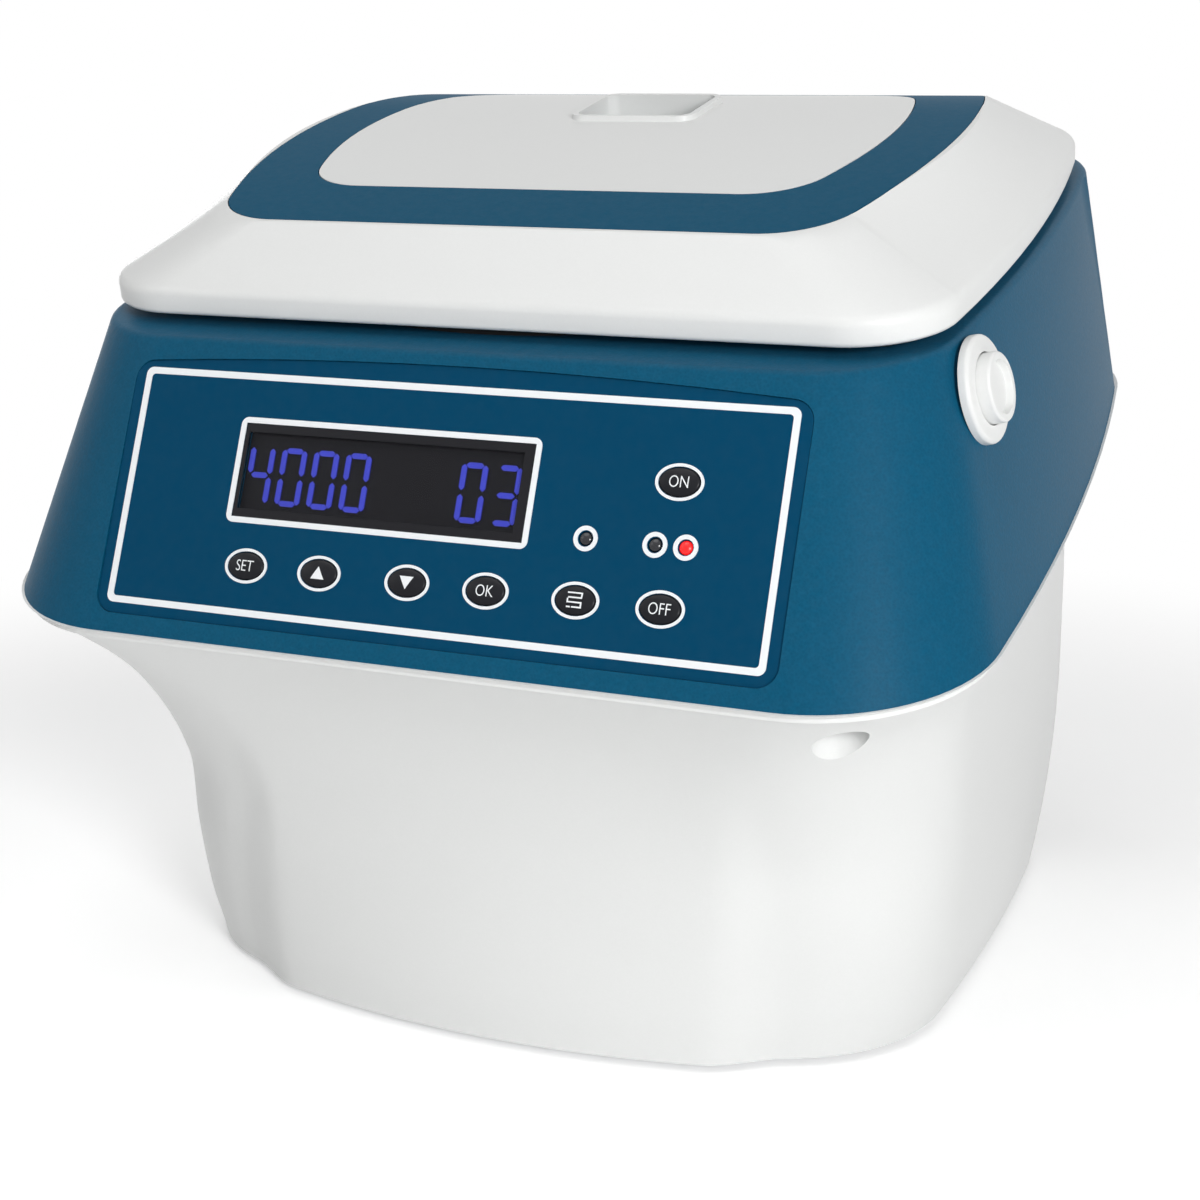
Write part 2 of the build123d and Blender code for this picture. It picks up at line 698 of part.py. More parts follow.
with BuildPart() as lock_bracket:
    with BuildSketch(Plane.XZ.offset(-(lock_y + lock_w / 2))):
        with BuildLine():
            Polyline((hook_x - 24, hook_z + 80), (hook_x - 24, hook_z + 10), (hook_x - 12, hook_z - 8),
                     (hook_x + 1, hook_z - 8), (hook_x + 1, hook_z + 80), (hook_x - 24, hook_z + 80))
        make_face()
        with Locations((hook_x - 3.5, hook_z)):
            Circle(2.5, mode=Mode.SUBTRACT)
    extrude(amount=lock_w)
    with BuildSketch(Plane.XZ.offset(-(lock_y + lock_slot / 2))):
        with Locations((hook_x - 9, hook_z + 37)):
            Rectangle(26, 94)
    extrude(amount=lock_slot, mode=Mode.SUBTRACT)
    with BuildSketch(sloped(deck_z - deck_t)):
        with Locations((hook_x - 18, striker_v + 2)):
            Rectangle(34, 40)
    extrude(amount=-2)
    split(bisect_by=sloped(deck_z - deck_t), keep=Keep.BOTTOM)
lock_bracket.part.label = "lock_bracket"
export_step(lock_bracket.part, "parts/lock_bracket.step")

with BuildPart() as lock_pin:
    with BuildSketch(Plane.XZ.offset(-(lock_y + lock_w / 2 + 1.2))):
        with Locations((hook_x - 3.5, hook_z)):
            Circle(2.5)
    extrude(amount=lock_w + 2.4)
lock_pin.part.label = "lock_pin"
export_step(lock_pin.part, "parts/lock_pin.step")

# ------------------------------------------------------------ chamber
bowl_flat = bowl_r - bowl_corner
bowl_top = deck_z + (axis_y + bowl_r + bowl_t) * rise + 10
with BuildPart() as chamber_bowl:
    with BuildSketch(axis_plane):
        with BuildLine():
            Polyline((17, bowl_z), (bowl_flat, bowl_z))
            TangentArc((bowl_flat, bowl_z), (bowl_r, bowl_z + bowl_corner), tangent=(1, 0))
            Polyline((bowl_r, bowl_z + bowl_corner), (bowl_r, bowl_top), (bowl_r + bowl_t, bowl_top),
                     (bowl_r + bowl_t, bowl_z + bowl_corner))
            TangentArc((bowl_r + bowl_t, bowl_z + bowl_corner), (bowl_flat, bowl_z - bowl_t), tangent=(0, -1))
            Polyline((bowl_flat, bowl_z - bowl_t), (17, bowl_z - bowl_t), (17, bowl_z))
        make_face()
    revolve(axis=rotor_axis)
    split(bisect_by=sloped(deck_z), keep=Keep.BOTTOM)

with BuildPart() as bowl_flange:
    with BuildSketch(Plane.XY.offset(mouth_z)):
        with Locations((0, axis_y)):
            Circle(bowl_r + bowl_t + bowl_lip)
            Circle(bowl_r + bowl_t - 0.5, mode=Mode.SUBTRACT)
    extrude(amount=deck_z - mouth_z + 80)
    split(bisect_by=sloped(deck_z - deck_t), keep=Keep.BOTTOM)
    split(bisect_by=sloped(deck_z - deck_t - 2), keep=Keep.TOP)

with BuildPart() as chamber:
    add(chamber_bowl.part)
    add(bowl_flange.part)
chamber.part.label = "chamber_bowl"
export_step(chamber.part, "parts/chamber_bowl.step")

with BuildPart() as chamber_seal:
    with BuildSketch(Plane.XY.offset(mouth_z)):
        with Locations((0, axis_y)):
            Circle(bowl_r + bowl_t + bowl_lip - 0.5)
            Circle(bowl_r + bowl_t + 2, mode=Mode.SUBTRACT)
    extrude(amount=deck_z - mouth_z + 80)
    split(bisect_by=sloped(rim_z - gap), keep=Keep.BOTTOM)
    split(bisect_by=sloped(deck_z), keep=Keep.TOP)
chamber_seal.part.label = "chamber_seal"
export_step(chamber_seal.part, "parts/chamber_seal.step")

# ------------------------------------------------------------ drive
with BuildPart() as motor_posts:
    with BuildSketch(Plane.XY.offset(foot_h + plate_t)):
        with Locations((0, axis_y)):
            with GridLocations(124, 124, 2, 2):
                Circle(6)
    extrude(amount=100 - foot_h - plate_t)
    with BuildSketch(Plane.XY.offset(foot_h + plate_t)):
        with Locations((0, axis_y)):
            with GridLocations(124, 124, 2, 2):
                Circle(12)
    extrude(amount=3)
motor_posts.part.label = "motor_posts"
export_step(motor_posts.part, "parts/motor_posts.step")

with BuildPart() as motor_dampers:
    with BuildSketch(Plane.XY.offset(100)):
        with Locations((0, axis_y)):
            with GridLocations(124, 124, 2, 2):
                Circle(13)
    extrude(amount=18)
    fillet(edges().filter_by(GeomType.CIRCLE), 3)
motor_dampers.part.label = "motor_dampers"
export_step(motor_dampers.part, "parts/motor_dampers.step")

with BuildPart() as motor_plate:
    with BuildSketch(Plane.XY.offset(118)):
        with Locations((0, axis_y)):
            RectangleRounded(156, 156, 16)
            Circle(22.2, mode=Mode.SUBTRACT)
            with GridLocations(96, 96, 2, 2):
                Circle(9, mode=Mode.SUBTRACT)
    extrude(amount=4)
motor_plate.part.label = "motor_plate"
export_step(motor_plate.part, "parts/motor_plate.step")

with BuildPart() as motor:
    with BuildSketch(Plane.XY.offset(34)):
        with Locations((0, axis_y)):
            Circle(50)
    extrude(amount=84)
    chamfer(edges().filter_by(GeomType.CIRCLE), 3)
    with BuildSketch(Plane.XY.offset(118)):
        with Locations((0, axis_y)):
            Circle(22)
    extrude(amount=8)
    with BuildSketch(Plane.XY.offset(24)):
        with Locations((0, axis_y)):
            Circle(30)
    extrude(amount=10)
    with BuildSketch(Plane.XY.offset(60)):
        with Locations((0, axis_y)):
            Circle(shaft_r + run_fit)
    extrude(amount=80, mode=Mode.SUBTRACT)
motor.part.label = "motor"
export_step(motor.part, "parts/motor.step")

with BuildPart() as shaft_boot:
    with BuildSketch(axis_plane):
        with BuildLine():
            Polyline((24, 122), (33, 122), (33, 125), (28, 127), (20, 150), (20, bowl_z - bowl_t),
                     (16, bowl_z - bowl_t), (16, 148), (24, 125), (24, 122))
        make_face()
    revolve(axis=rotor_axis)
shaft_boot.part.label = "shaft_boot"
export_step(shaft_boot.part, "parts/shaft_boot.step")

# ------------------------------------------------------------ rotor
with BuildPart() as drive_shaft:
    with BuildSketch(Plane.XY.offset(62)):
        with Locations((0, axis_y)):
            Circle(shaft_r)
    extrude(amount=hang_z + 8 - 62)
    with BuildSketch(Plane.XY.offset(hang_z + 8)):
        with Locations((0, axis_y)):
            Circle(4)
    extrude(amount=16)
drive_shaft.part.label = "drive_shaft"
export_step(drive_shaft.part, "parts/drive_shaft.step")

bar_y = carrier_l / 2 + 6

with BuildPart() as rotor_yoke:
    with BuildSketch(Plane.XY.offset(hang_z - 22)):
        with Locations((0, axis_y)):
            Circle(13)
    extrude(amount=30)
    with BuildSketch(Plane.XY.offset(hang_z - 7)):
        with Locations((0, axis_y)):
            Rectangle(arm_w, 2 * bar_y)
    extrude(amount=14)
    with BuildSketch(Plane.XY.offset(hang_z - 8)):
        with Locations((0, axis_y - bar_y), (0, axis_y + bar_y)):
            RectangleRounded(2 * hang_x + 42, 8, 3.9)
    extrude(amount=16)
    with BuildSketch(Plane.XY.offset(hang_z - 30)):
        with Locations((0, axis_y)):
            Circle(shaft_r)
    extrude(amount=60, mode=Mode.SUBTRACT)
    with BuildSketch(Plane.XZ.offset(-(axis_y + 90))):
        with Locations((-hang_x, hang_z), (hang_x, hang_z)):
            Circle(4)
    extrude(amount=180, mode=Mode.SUBTRACT)
rotor_yoke.part.label = "rotor_yoke"
export_step(rotor_yoke.part, "parts/rotor_yoke.step")

with BuildPart() as trunnions:
    for end in (-1, 1):
        with BuildSketch(Plane.XZ.offset(-(axis_y + end * (plate_l / 2 + 0.4)))):
            with Locations((-hang_x, hang_z), (hang_x, hang_z)):
                Circle(4)
        extrude(amount=-end * (bar_y + 4 - plate_l / 2 - 0.4))
trunnions.part.label = "trunnions"
export_step(trunnions.part, "parts/trunnions.step")

for name, x in (("carrier_right", hang_x), ("carrier_left", -hang_x)):
    with BuildPart() as carrier:
        with BuildSketch(Plane.XY.offset(hang_z - 14)):
            with Locations((x, axis_y)):
                RectangleRounded(carrier_w, carrier_l, 5)
        extrude(amount=22)
        with BuildSketch(Plane.XZ.offset(-(axis_y + carrier_l / 2 + 1.6))):
            with Locations((x, hang_z)):
                Circle(7)
        extrude(amount=carrier_l + 3.2)
        with BuildSketch(Plane.XY.offset(hang_z - 12)):
            with Locations((x, axis_y)):
                RectangleRounded(plate_w, plate_l, 2.5)
        extrude(amount=30, mode=Mode.SUBTRACT)
        with BuildSketch(Plane.YZ.offset(x - 60)):
            with Locations((axis_y, hang_z + 8)):
                RectangleRounded(44, 26, 6)
        extrude(amount=120, mode=Mode.SUBTRACT)
        with BuildSketch(Plane.XY.offset(hang_z - 20)):
            with Locations((x, axis_y)):
                with GridLocations(24, 34, 3, 3):
                    SlotOverall(26, 9, rotation=90)
        extrude(amount=10, mode=Mode.SUBTRACT)
        with BuildSketch(Plane.XZ.offset(-(axis_y + 90))):
            with Locations((x, hang_z)):
                Circle(4 + run_fit)
        extrude(amount=180, mode=Mode.SUBTRACT)
    carrier.part.label = name
    export_step(carrier.part, "parts/" + name + ".step")

with BuildPart() as rotor_knob:
    with BuildSketch(Plane.XY.offset(hang_z + 8.3)):
        with Locations((0, axis_y)):
            Circle(12.5)
            with PolarLocations(12.5, 12):
                Circle(1.6, mode=Mode.SUBTRACT)
    extrude(amount=20)
    with BuildSketch(Plane.XY.offset(hang_z + 8)):
        with Locations((0, axis_y)):
            Circle(4 + run_fit)
    extrude(amount=17, mode=Mode.SUBTRACT)
rotor_knob.part.label = "rotor_knob"
export_step(rotor_knob.part, "parts/rotor_knob.step")

# ------------------------------------------------------------ lid
with BuildPart() as crown_solid:
    with BuildSketch(side_plane(rim_z, -200)):
        crown_profile()
    extrude(amount=400)

with BuildPart() as crown_inlay:
    with BuildSketch(side_plane(rim_z, -200)):
        crown_profile(inlay_t)
    extrude(amount=400)

with BuildPart() as lid_core:
    with BuildSketch(sloped(rim_z).offset(-1)):
        rim_outline(lid_t)
    extrude(amount=rim_h)
    with BuildSketch(sloped(rim_z).offset(rim_h - 1)):
        rim_outline(lid_t)
    with BuildSketch(sloped(rim_z).offset(top_h - 1)):
        top_outline(lid_t + 1)
    loft(ruled=True)
    with BuildSketch(side_plane(rim_z, -200)):
        crown_profile(6)
    extrude(amount=400, mode=Mode.INTERSECT)
    # left solid: screw bosses and the frame of the sight window
    with BuildSketch(sloped(rim_z).offset(liner_t)):
        with Locations(*lid_bosses):
            Circle(6)
    extrude(amount=60, mode=Mode.SUBTRACT)
    with BuildSketch(sloped(rim_z).offset(liner_t + 8)):
        with Locations((0, view_v)):
            RectangleRounded(view_w + 6, view_l + 6, 8)
    extrude(amount=60, mode=Mode.SUBTRACT)

with BuildPart() as ring_pocket:
    with BuildSketch(sloped(rim_z)):
        ring_outline()
    extrude(amount=60)
    with BuildSketch(sloped(rim_z)):
        cap_outline()
    extrude(amount=60, mode=Mode.SUBTRACT)
    add(crown_inlay.part, mode=Mode.SUBTRACT)

with BuildPart() as lid_shell:
    with BuildSketch(sloped(rim_z)):
        rim_outline()
    extrude(amount=rim_h)
    with BuildSketch(sloped(rim_z).offset(rim_h)):
        rim_outline()
    with BuildSketch(sloped(rim_z).offset(top_h)):
        top_outline()
    loft(ruled=True)
    fillet(edges().filter_by_position(lid_up, rim_h - 0.01, rim_h + 0.01), rim_r)
    fillet(edges().filter_by_position(lid_up, -0.01, 0.01), rim_low_r)
    add(crown_solid.part, mode=Mode.INTERSECT)
    add(lid_core.part, mode=Mode.SUBTRACT)
    add(ring_pocket.part, mode=Mode.SUBTRACT)
    with BuildSketch(sloped(rim_z).offset(liner_t)):
        with Locations(*lid_bosses):
            Circle(1.9)
    extrude(amount=10.5, mode=Mode.SUBTRACT)
    # raised lip and opening of the sight window
    with BuildSketch(sloped(rim_z).offset(34)):
        with Locations((0, view_v)):
            RectangleRounded(view_w + 10, view_l + 10, 10)
    extrude(amount=9, taper=14)
    with BuildSketch(sloped(rim_z).offset(view_z)):
        with Locations((0, view_v)):
            RectangleRounded(view_w, view_l, 5)
    extrude(amount=30, mode=Mode.SUBTRACT)
    with BuildSketch(sloped(rim_z)):
        with Locations((0, view_v)):
            RectangleRounded(view_w - 6, view_l - 6, 3)
    extrude(amount=60, mode=Mode.SUBTRACT)
lid_shell.part.label = "lid_shell"
export_step(lid_shell.part, "parts/lid_shell.step")

with BuildPart() as lid_ring:
    with BuildSketch(sloped(rim_z)):
        ring_outline(gap)
    extrude(amount=60)
    with BuildSketch(sloped(rim_z)):
        cap_outline(-gap)
    extrude(amount=60, mode=Mode.SUBTRACT)
    add(crown_solid.part, mode=Mode.INTERSECT)
    add(crown_inlay.part, mode=Mode.SUBTRACT)
lid_ring.part.label = "lid_ring"
export_step(lid_ring.part, "parts/lid_ring.step")

with BuildPart() as lid_window:
    with BuildSketch(sloped(rim_z).offset(view_z)):
        with Locations((0, view_v)):
            RectangleRounded(view_w - 0.6, view_l - 0.6, 4.7)
    extrude(amount=2.5)
lid_window.part.label = "lid_window"
export_step(lid_window.part, "parts/lid_window.step")

with BuildPart() as lid_liner:
    with BuildSketch(sloped(rim_z)):
        rim_outline(lid_t + gap)
    extrude(amount=liner_t)
    with BuildSketch(sloped(rim_z)):
        with Locations((0, axis_y / math.cos(slope))):
            Circle(pan_r + 2.5)
    extrude(amount=liner_t + 8)
    with BuildSketch(sloped(rim_z)):
        with Locations((0, axis_y / math.cos(slope))):
            Circle(pan_r)
    extrude(amount=8, mode=Mode.SUBTRACT)
    with BuildSketch(sloped(rim_z)):
        with Locations((0, view_v)):
            RectangleRounded(view_w - 6, view_l - 6, 3)
        with Locations(*lid_bosses):
            Circle(2.2)
    extrude(amount=30, mode=Mode.SUBTRACT)
lid_liner.part.label = "lid_liner"
export_step(lid_liner.part, "parts/lid_liner.step")

with BuildPart() as liner_screws:
    with BuildSketch(sloped(rim_z)):
        with Locations(*lid_bosses):
            Circle(4)
    extrude(amount=-1.6)
    with BuildSketch(sloped(rim_z)):
        with Locations(*lid_bosses):
            Circle(1.8)
    extrude(amount=13)
liner_screws.part.label = "liner_screws"
export_step(liner_screws.part, "parts/liner_screws.step")

with BuildPart() as lid_striker:
    with BuildSketch(sloped(rim_z)):
        with Locations((striker_x, striker_v)):
            RectangleRounded(24, 22, 3)
    extrude(amount=-1.8)
    with BuildSketch(sloped(rim_z)):
        with Locations((striker_x, striker_v)):
            Rectangle(3, 16)
    extrude(amount=-25)
    with BuildSketch(Plane.YZ.offset(striker_x - 10)):
        with Locations((lock_y, hook_z + 43)):
            Rectangle(9, 10)
    extrude(amount=20, mode=Mode.SUBTRACT)
lid_striker.part.label = "lid_striker"
export_step(lid_striker.part, "parts/lid_striker.step")

# ------------------------------------------------------------ hinges
with BuildPart() as hinge_brackets:
    for x in (-hinge_x - 19, -hinge_x + 13, hinge_x - 19, hinge_x + 13):
        with BuildSketch(side_plane(rim_z, x)):
            with Locations((hinge_v, hinge_h)):
                Circle(6.5)
            with Locations((hinge_v - 2, (hinge_h - deck_h) / 2)):
                Rectangle(9, hinge_h + deck_h)
            with Locations((hinge_v, hinge_h)):
                Circle(3, mode=Mode.SUBTRACT)
        extrude(amount=6)
hinge_brackets.part.label = "hinge_brackets"
export_step(hinge_brackets.part, "parts/hinge_brackets.step")

with BuildPart() as hinge_pins:
    for x in (-hinge_x - 21, hinge_x - 21):
        with BuildSketch(side_plane(rim_z, x)):
            with Locations((hinge_v, hinge_h)):
                Circle(3)
        extrude(amount=42)
hinge_pins.part.label = "hinge_pins"
export_step(hinge_pins.part, "parts/hinge_pins.step")

with BuildPart() as hinge_leaves:
    for x in (-hinge_x - 12.6, hinge_x - 12.6):
        with BuildSketch(side_plane(rim_z, x)):
            with Locations((hinge_v, hinge_h)):
                Circle(6)
            with Locations(((lid_rear + hinge_v) / 2, hinge_h)):
                Rectangle(hinge_v - lid_rear, 7)
            with Locations((hinge_v, hinge_h)):
                Circle(3 + run_fit, mode=Mode.SUBTRACT)
        extrude(amount=25.2)
hinge_leaves.part.label = "hinge_leaves"
export_step(hinge_leaves.part, "parts/hinge_leaves.step")

# ------------------------------------------------------------ mains inlet and switch
rear_wall = Plane.XZ.offset(-body_rear - seat)
with BuildPart() as mains_inlet:
    with BuildSketch(rear_wall):
        with Locations((inlet_x, inlet_z)):
            RectangleRounded(inlet_w + 7, inlet_h + 6, 3)
    extrude(amount=-2.2)
    with BuildSketch(rear_wall):
        with Locations((inlet_x, inlet_z)):
            Rectangle(inlet_w, inlet_h)
    extrude(amount=24)
    with BuildSketch(rear_wall.offset(-2.2)):
        with Locations((inlet_x, inlet_z + 5)):
            Rectangle(24.4, 16.6)
        chamfer(vertices().group_by(Axis.Y)[-1], 4)
    extrude(amount=17, mode=Mode.SUBTRACT)
    with BuildSketch(rear_wall.offset(-2.2)):
        with Locations((inlet_x, inlet_z - 10)):
            Rectangle(22.4, 8.4)
    extrude(amount=12, mode=Mode.SUBTRACT)
mains_inlet.part.label = "mains_inlet"
export_step(mains_inlet.part, "parts/mains_inlet.step")

with BuildPart() as inlet_pins:
    with BuildSketch(rear_wall.offset(14.8)):
        with Locations((inlet_x - 7, inlet_z + 3), (inlet_x, inlet_z + 7), (inlet_x + 7, inlet_z + 3)):
            Rectangle(2, 4)
    extrude(amount=-13)
    with BuildSketch(rear_wall.offset(24)):
        with Locations((inlet_x - 7, inlet_z + 3), (inlet_x, inlet_z + 7), (inlet_x + 7, inlet_z + 3)):
            Rectangle(0.8, 6)
    extrude(amount=8)
inlet_pins.part.label = "inlet_pins"
export_step(inlet_pins.part, "parts/inlet_pins.step")

with BuildPart() as fuse_drawer:
    with BuildSketch(rear_wall.offset(-2.2)):
        with Locations((inlet_x, inlet_z - 10)):
            Rectangle(21.8, 7.8)
    extrude(amount=12)
    with BuildSketch(rear_wall.offset(-2.2)):
        with Locations((inlet_x, inlet_z - 10)):
            Rectangle(8, 1.6)
    extrude(amount=1, mode=Mode.SUBTRACT)
fuse_drawer.part.label = "fuse_drawer"
export_step(fuse_drawer.part, "parts/fuse_drawer.step")

with BuildPart() as switch_housing:
    with BuildSketch(rear_wall):
        with Locations((inlet_x, switch_z)):
            RectangleRounded(switch_w + 4, switch_h + 4, 2)
    extrude(amount=-1.8)
    with BuildSketch(rear_wall):
        with Locations((inlet_x, switch_z)):
            Rectangle(switch_w, switch_h)
    extrude(amount=18)
    with BuildSketch(Plane.YZ.offset(inlet_x - 11.4)):
        with Locations((switch_y, switch_z)):
            Circle(rocker_r + gap)
            with Locations((10, 0)):
                Rectangle(20, 2 * rocker_r + 2 * gap)
    extrude(amount=22.8, mode=Mode.SUBTRACT)
switch_housing.part.label = "switch_housing"
export_step(switch_housing.part, "parts/switch_housing.step")

rocker_lean = math.radians(rocker_swing / 2)
with BuildPart() as switch_rocker:
    with BuildSketch(Plane(origin=(inlet_x - 11, switch_y, switch_z), z_dir=(1, 0, 0),
                           x_dir=(0, math.cos(rocker_lean), math.sin(rocker_lean)))):
        Circle(rocker_r)
        with BuildLine():
            Polyline((-rocker_r, -12), (7.6, -12), (6.2, 0), (7.6, 12), (-rocker_r, 12), (-rocker_r, -12))
        make_face(mode=Mode.INTERSECT)
    extrude(amount=22)
switch_rocker.part.label = "switch_rocker"
export_step(switch_rocker.part, "parts/switch_rocker.step")

# ------------------------------------------------------------ fan
fan_face = Plane.XZ.offset(wall + seat - body_rear)
with BuildPart() as fan_frame:
    with BuildSketch(fan_face):
        with Locations((fan_x, fan_z)):
            RectangleRounded(fan_w, fan_w, 4)
            Circle(fan_w / 2 - 2, mode=Mode.SUBTRACT)
            with GridLocations(71.5, 71.5, 2, 2):
                Circle(2.2, mode=Mode.SUBTRACT)
    extrude(amount=fan_t)
    with BuildSketch(fan_face.offset(fan_t - 3)):
        with Locations((fan_x, fan_z)):
            Circle(18)
            with PolarLocations(28, 3, 30):
                Rectangle(22, 4)
    extrude(amount=3)
    with BuildSketch(fan_face.offset(fan_t - 3)):
        with Locations((fan_x, fan_z)):
            Circle(2)
    extrude(amount=-12)
fan_frame.part.label = "fan_frame"
export_step(fan_frame.part, "parts/fan_frame.step")

with BuildPart() as fan_rotor:
    with BuildSketch(fan_face.offset(2)):
        with Locations((fan_x, fan_z)):
            Circle(17)
    extrude(amount=fan_t - 6)
    for i in range(7):
        with BuildSketch(fan_face.offset(4)):
            with Locations((fan_x, fan_z)):
                with PolarLocations(26, 1, i * 360 / 7):
                    Rectangle(20, 1.6, rotation=0)
        with BuildSketch(fan_face.offset(fan_t - 7)):
            with Locations((fan_x, fan_z)):
                with PolarLocations(26, 1, i * 360 / 7 + 24):
                    Rectangle(20, 1.6, rotation=0)
        loft()
    with BuildSketch(fan_face.offset(fan_t)):
        with Locations((fan_x, fan_z)):
            Circle(2 + run_fit)
    extrude(amount=-16.5, mode=Mode.SUBTRACT)
fan_rotor.part.label = "fan_rotor"
export_step(fan_rotor.part, "parts/fan_rotor.step")

# ------------------------------------------------------------ electronics
floor_z = foot_h + plate_t
with BuildPart() as power_supply:
    with BuildSketch(Plane.XY.offset(floor_z + 4)):
        with Locations((supply_x, supply_y)):
            RectangleRounded(64, 110, 2)
    extrude(amount=46)
    with BuildSketch(Plane.XY.offset(floor_z)):
        with Locations((supply_x, supply_y)):
            with GridLocations(50, 96, 2, 2):
                Circle(4)
    extrude(amount=4)
    with BuildSketch(Plane.XY.offset(floor_z + 50)):
        with Locations((supply_x, supply_y - 10)):
            with GridLocations(9, 70, 6, 1):
                SlotOverall(60, 3, rotation=90)
    extrude(amount=-1.5, mode=Mode.SUBTRACT)
power_supply.part.label = "power_supply"
export_step(power_supply.part, "parts/power_supply.step")

with BuildPart() as main_board:
    with BuildSketch(Plane.XY.offset(floor_z + 10)):
        with Locations((board_x, board_y)):
            Rectangle(66, 130)
    extrude(amount=1.6)
    with BuildSketch(Plane.XY.offset(floor_z)):
        with Locations((board_x, board_y)):
            with GridLocations(56, 120, 2, 2):
                Circle(3)
    extrude(amount=10)
    with BuildSketch(Plane.XY.offset(floor_z + 11.6)):
        with Locations((board_x + 18, board_y + 25)):
            with GridLocations(5, 1, 5, 1):
                Rectangle(2, 50)
    extrude(amount=28)
    with BuildSketch(Plane.XY.offset(floor_z + 11.6)):
        with Locations((board_x + 18, board_y + 25)):
            Rectangle(24, 50)
        with Locations((board_x - 16, board_y - 40), (board_x + 12, board_y - 50)):
            Rectangle(20, 9)
    extrude(amount=5)
    with BuildSketch(Plane.XY.offset(floor_z + 11.6)):
        with Locations((board_x - 16, board_y + 42), (board_x - 16, board_y + 12)):
            Circle(11)
    extrude(amount=30)
main_board.part.label = "main_board"
export_step(main_board.part, "parts/main_board.step")

cable_runs = [
    [(inlet_x + 7, body_rear - 34, inlet_z + 3), (inlet_x + 7, 146, 84), (inlet_x + 5, body_rear - 21, switch_z)],
    [(inlet_x - 7, body_rear - 34, inlet_z + 3), (inlet_x - 12, 142, 56), (supply_x + 16, supply_y + 57.5, 46)],
    [(supply_x + 34.5, supply_y - 30, 30), (-64, 18, 17), (0, -24, 15), (60, 10, 17), (board_x - 35, board_y, 21.3)],
    [(board_x - 35, board_y - 50, 21.3), (72, -70, 40), (78, -108, 120), (80, -138, 190), (80, -147, 212)],
    [(board_x - 35, board_y + 40, 21.3), (70, 48, 30), (53, 32, 60)]]
with BuildPart() as wiring:
    for run in cable_runs:
        with BuildLine():
            path = Spline(*run)
        with BuildSketch(Plane(origin=path @ 0, z_dir=path % 0)):
            Circle(2)
        sweep()
wiring.part.label = "wiring"
export_step(wiring.part, "parts/wiring.step")
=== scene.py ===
"""Microplate centrifuge: finishes, key legends, lenses, screw heads and studio."""
import math

import bmesh
import bpy
from bpy.props import FloatProperty, FloatVectorProperty, IntProperty, PointerProperty
from bpy.types import Operator, Panel, PropertyGroup
from mathutils import Matrix, Vector
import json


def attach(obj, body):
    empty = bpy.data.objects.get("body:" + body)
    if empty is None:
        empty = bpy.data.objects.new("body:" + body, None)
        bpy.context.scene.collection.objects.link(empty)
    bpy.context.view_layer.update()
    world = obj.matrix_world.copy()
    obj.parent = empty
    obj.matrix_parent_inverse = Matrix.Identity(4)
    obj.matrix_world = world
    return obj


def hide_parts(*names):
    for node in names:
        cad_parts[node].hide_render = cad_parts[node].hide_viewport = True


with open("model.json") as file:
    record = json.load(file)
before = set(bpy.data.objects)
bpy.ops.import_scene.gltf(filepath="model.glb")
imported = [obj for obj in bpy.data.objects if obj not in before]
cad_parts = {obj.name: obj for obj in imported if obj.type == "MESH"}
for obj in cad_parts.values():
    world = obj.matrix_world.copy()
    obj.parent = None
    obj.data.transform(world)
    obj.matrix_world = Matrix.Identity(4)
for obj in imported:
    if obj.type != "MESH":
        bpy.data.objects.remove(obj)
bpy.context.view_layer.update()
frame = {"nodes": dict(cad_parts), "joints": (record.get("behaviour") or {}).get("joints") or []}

bl_info = {
    "name": "Microplate centrifuge",
    "version": (1, 0, 0),
    "blender": (4, 5, 0),
    "location": "View3D > Sidebar > Centrifuge",
    "description": "Finishes a benchtop microplate centrifuge and sets up its studio",
    "category": "Object",
}

MM = 0.001
NODES = frame["nodes"]
JOINTS = {j["name"]: j for j in frame["joints"]}
LID_SLOPE = math.radians(11.5)
PANEL_NORMAL = -Vector(JOINTS["key_set_press"]["axis"]).normalized()
PANEL_RIGHT = Vector((1, 0, 0))
PANEL_UP = PANEL_NORMAL.cross(PANEL_RIGHT)
ROTOR_AXIS = Vector((0, 18 * MM, 0))

MERGE = 0.002 * MM              # points of a CAD node closer than this are one point
SLIVER = 0.001 * MM             # edges of a CAD node shorter than this are dropped

DUST_TONE = (0.62, 0.61, 0.59, 1)
GRAIN_MIDDLE = 0.45             # height of the grain where its painted shade leaves the colour as it is
SHEEN_SPREAD = 0.12             # how far the grain spreads the roughness of plastic
BRUSH_SPREAD = 0.22             # and brush marks that of metal
BRUSH_LEAST = 0.2

DOME_FALL = 2.2                 # how late a dome falls away from its crown
DOME_ROUND = 0.8                # how full its shoulder is
FONT_PER_CAP = 1.42             # font size over cap height
FONT_THINNING = 0.012           # strokes drawn in, as a share of the cap height
LEGEND_T = 0.1 * MM             # thickness of a printed legend
LEGEND_NARROW = 0.8             # width of its letters over that of the plain font
LEGEND_EDGE = 1.2 * MM          # longer edges of a legend are divided, so it follows the dome
STROKE_W = 0.55 * MM            # stroke width of the symbol on the mode key
SYMBOL_MM = (                   # its strokes: from x, y to x, y
    (-2.6, 2.6, 2.2, 2.6), (-2.2, 0.9, 2.6, 0.9), (-2.6, -0.8, 2.2, -0.8), (2.2, -2.5, -0.6, -2.5),
    (2.6, 2.6, 2.6, 1.5), (-2.6, -0.8, -2.6, 0.3), (2.6, -0.8, 2.6, -2.5), (-2.6, -2.5, -1.6, -2.5))
KEY_HALF = (7.5 * MM, 5.1 * MM)
KEY_SKIRT = 4.5 * MM
KEY_EDGE = -0.55 * MM           # edge of a key's dome from the top of its CAD node
LENS_GAP = 0.05 * MM            # a lens is smaller than its CAD node by this, all round
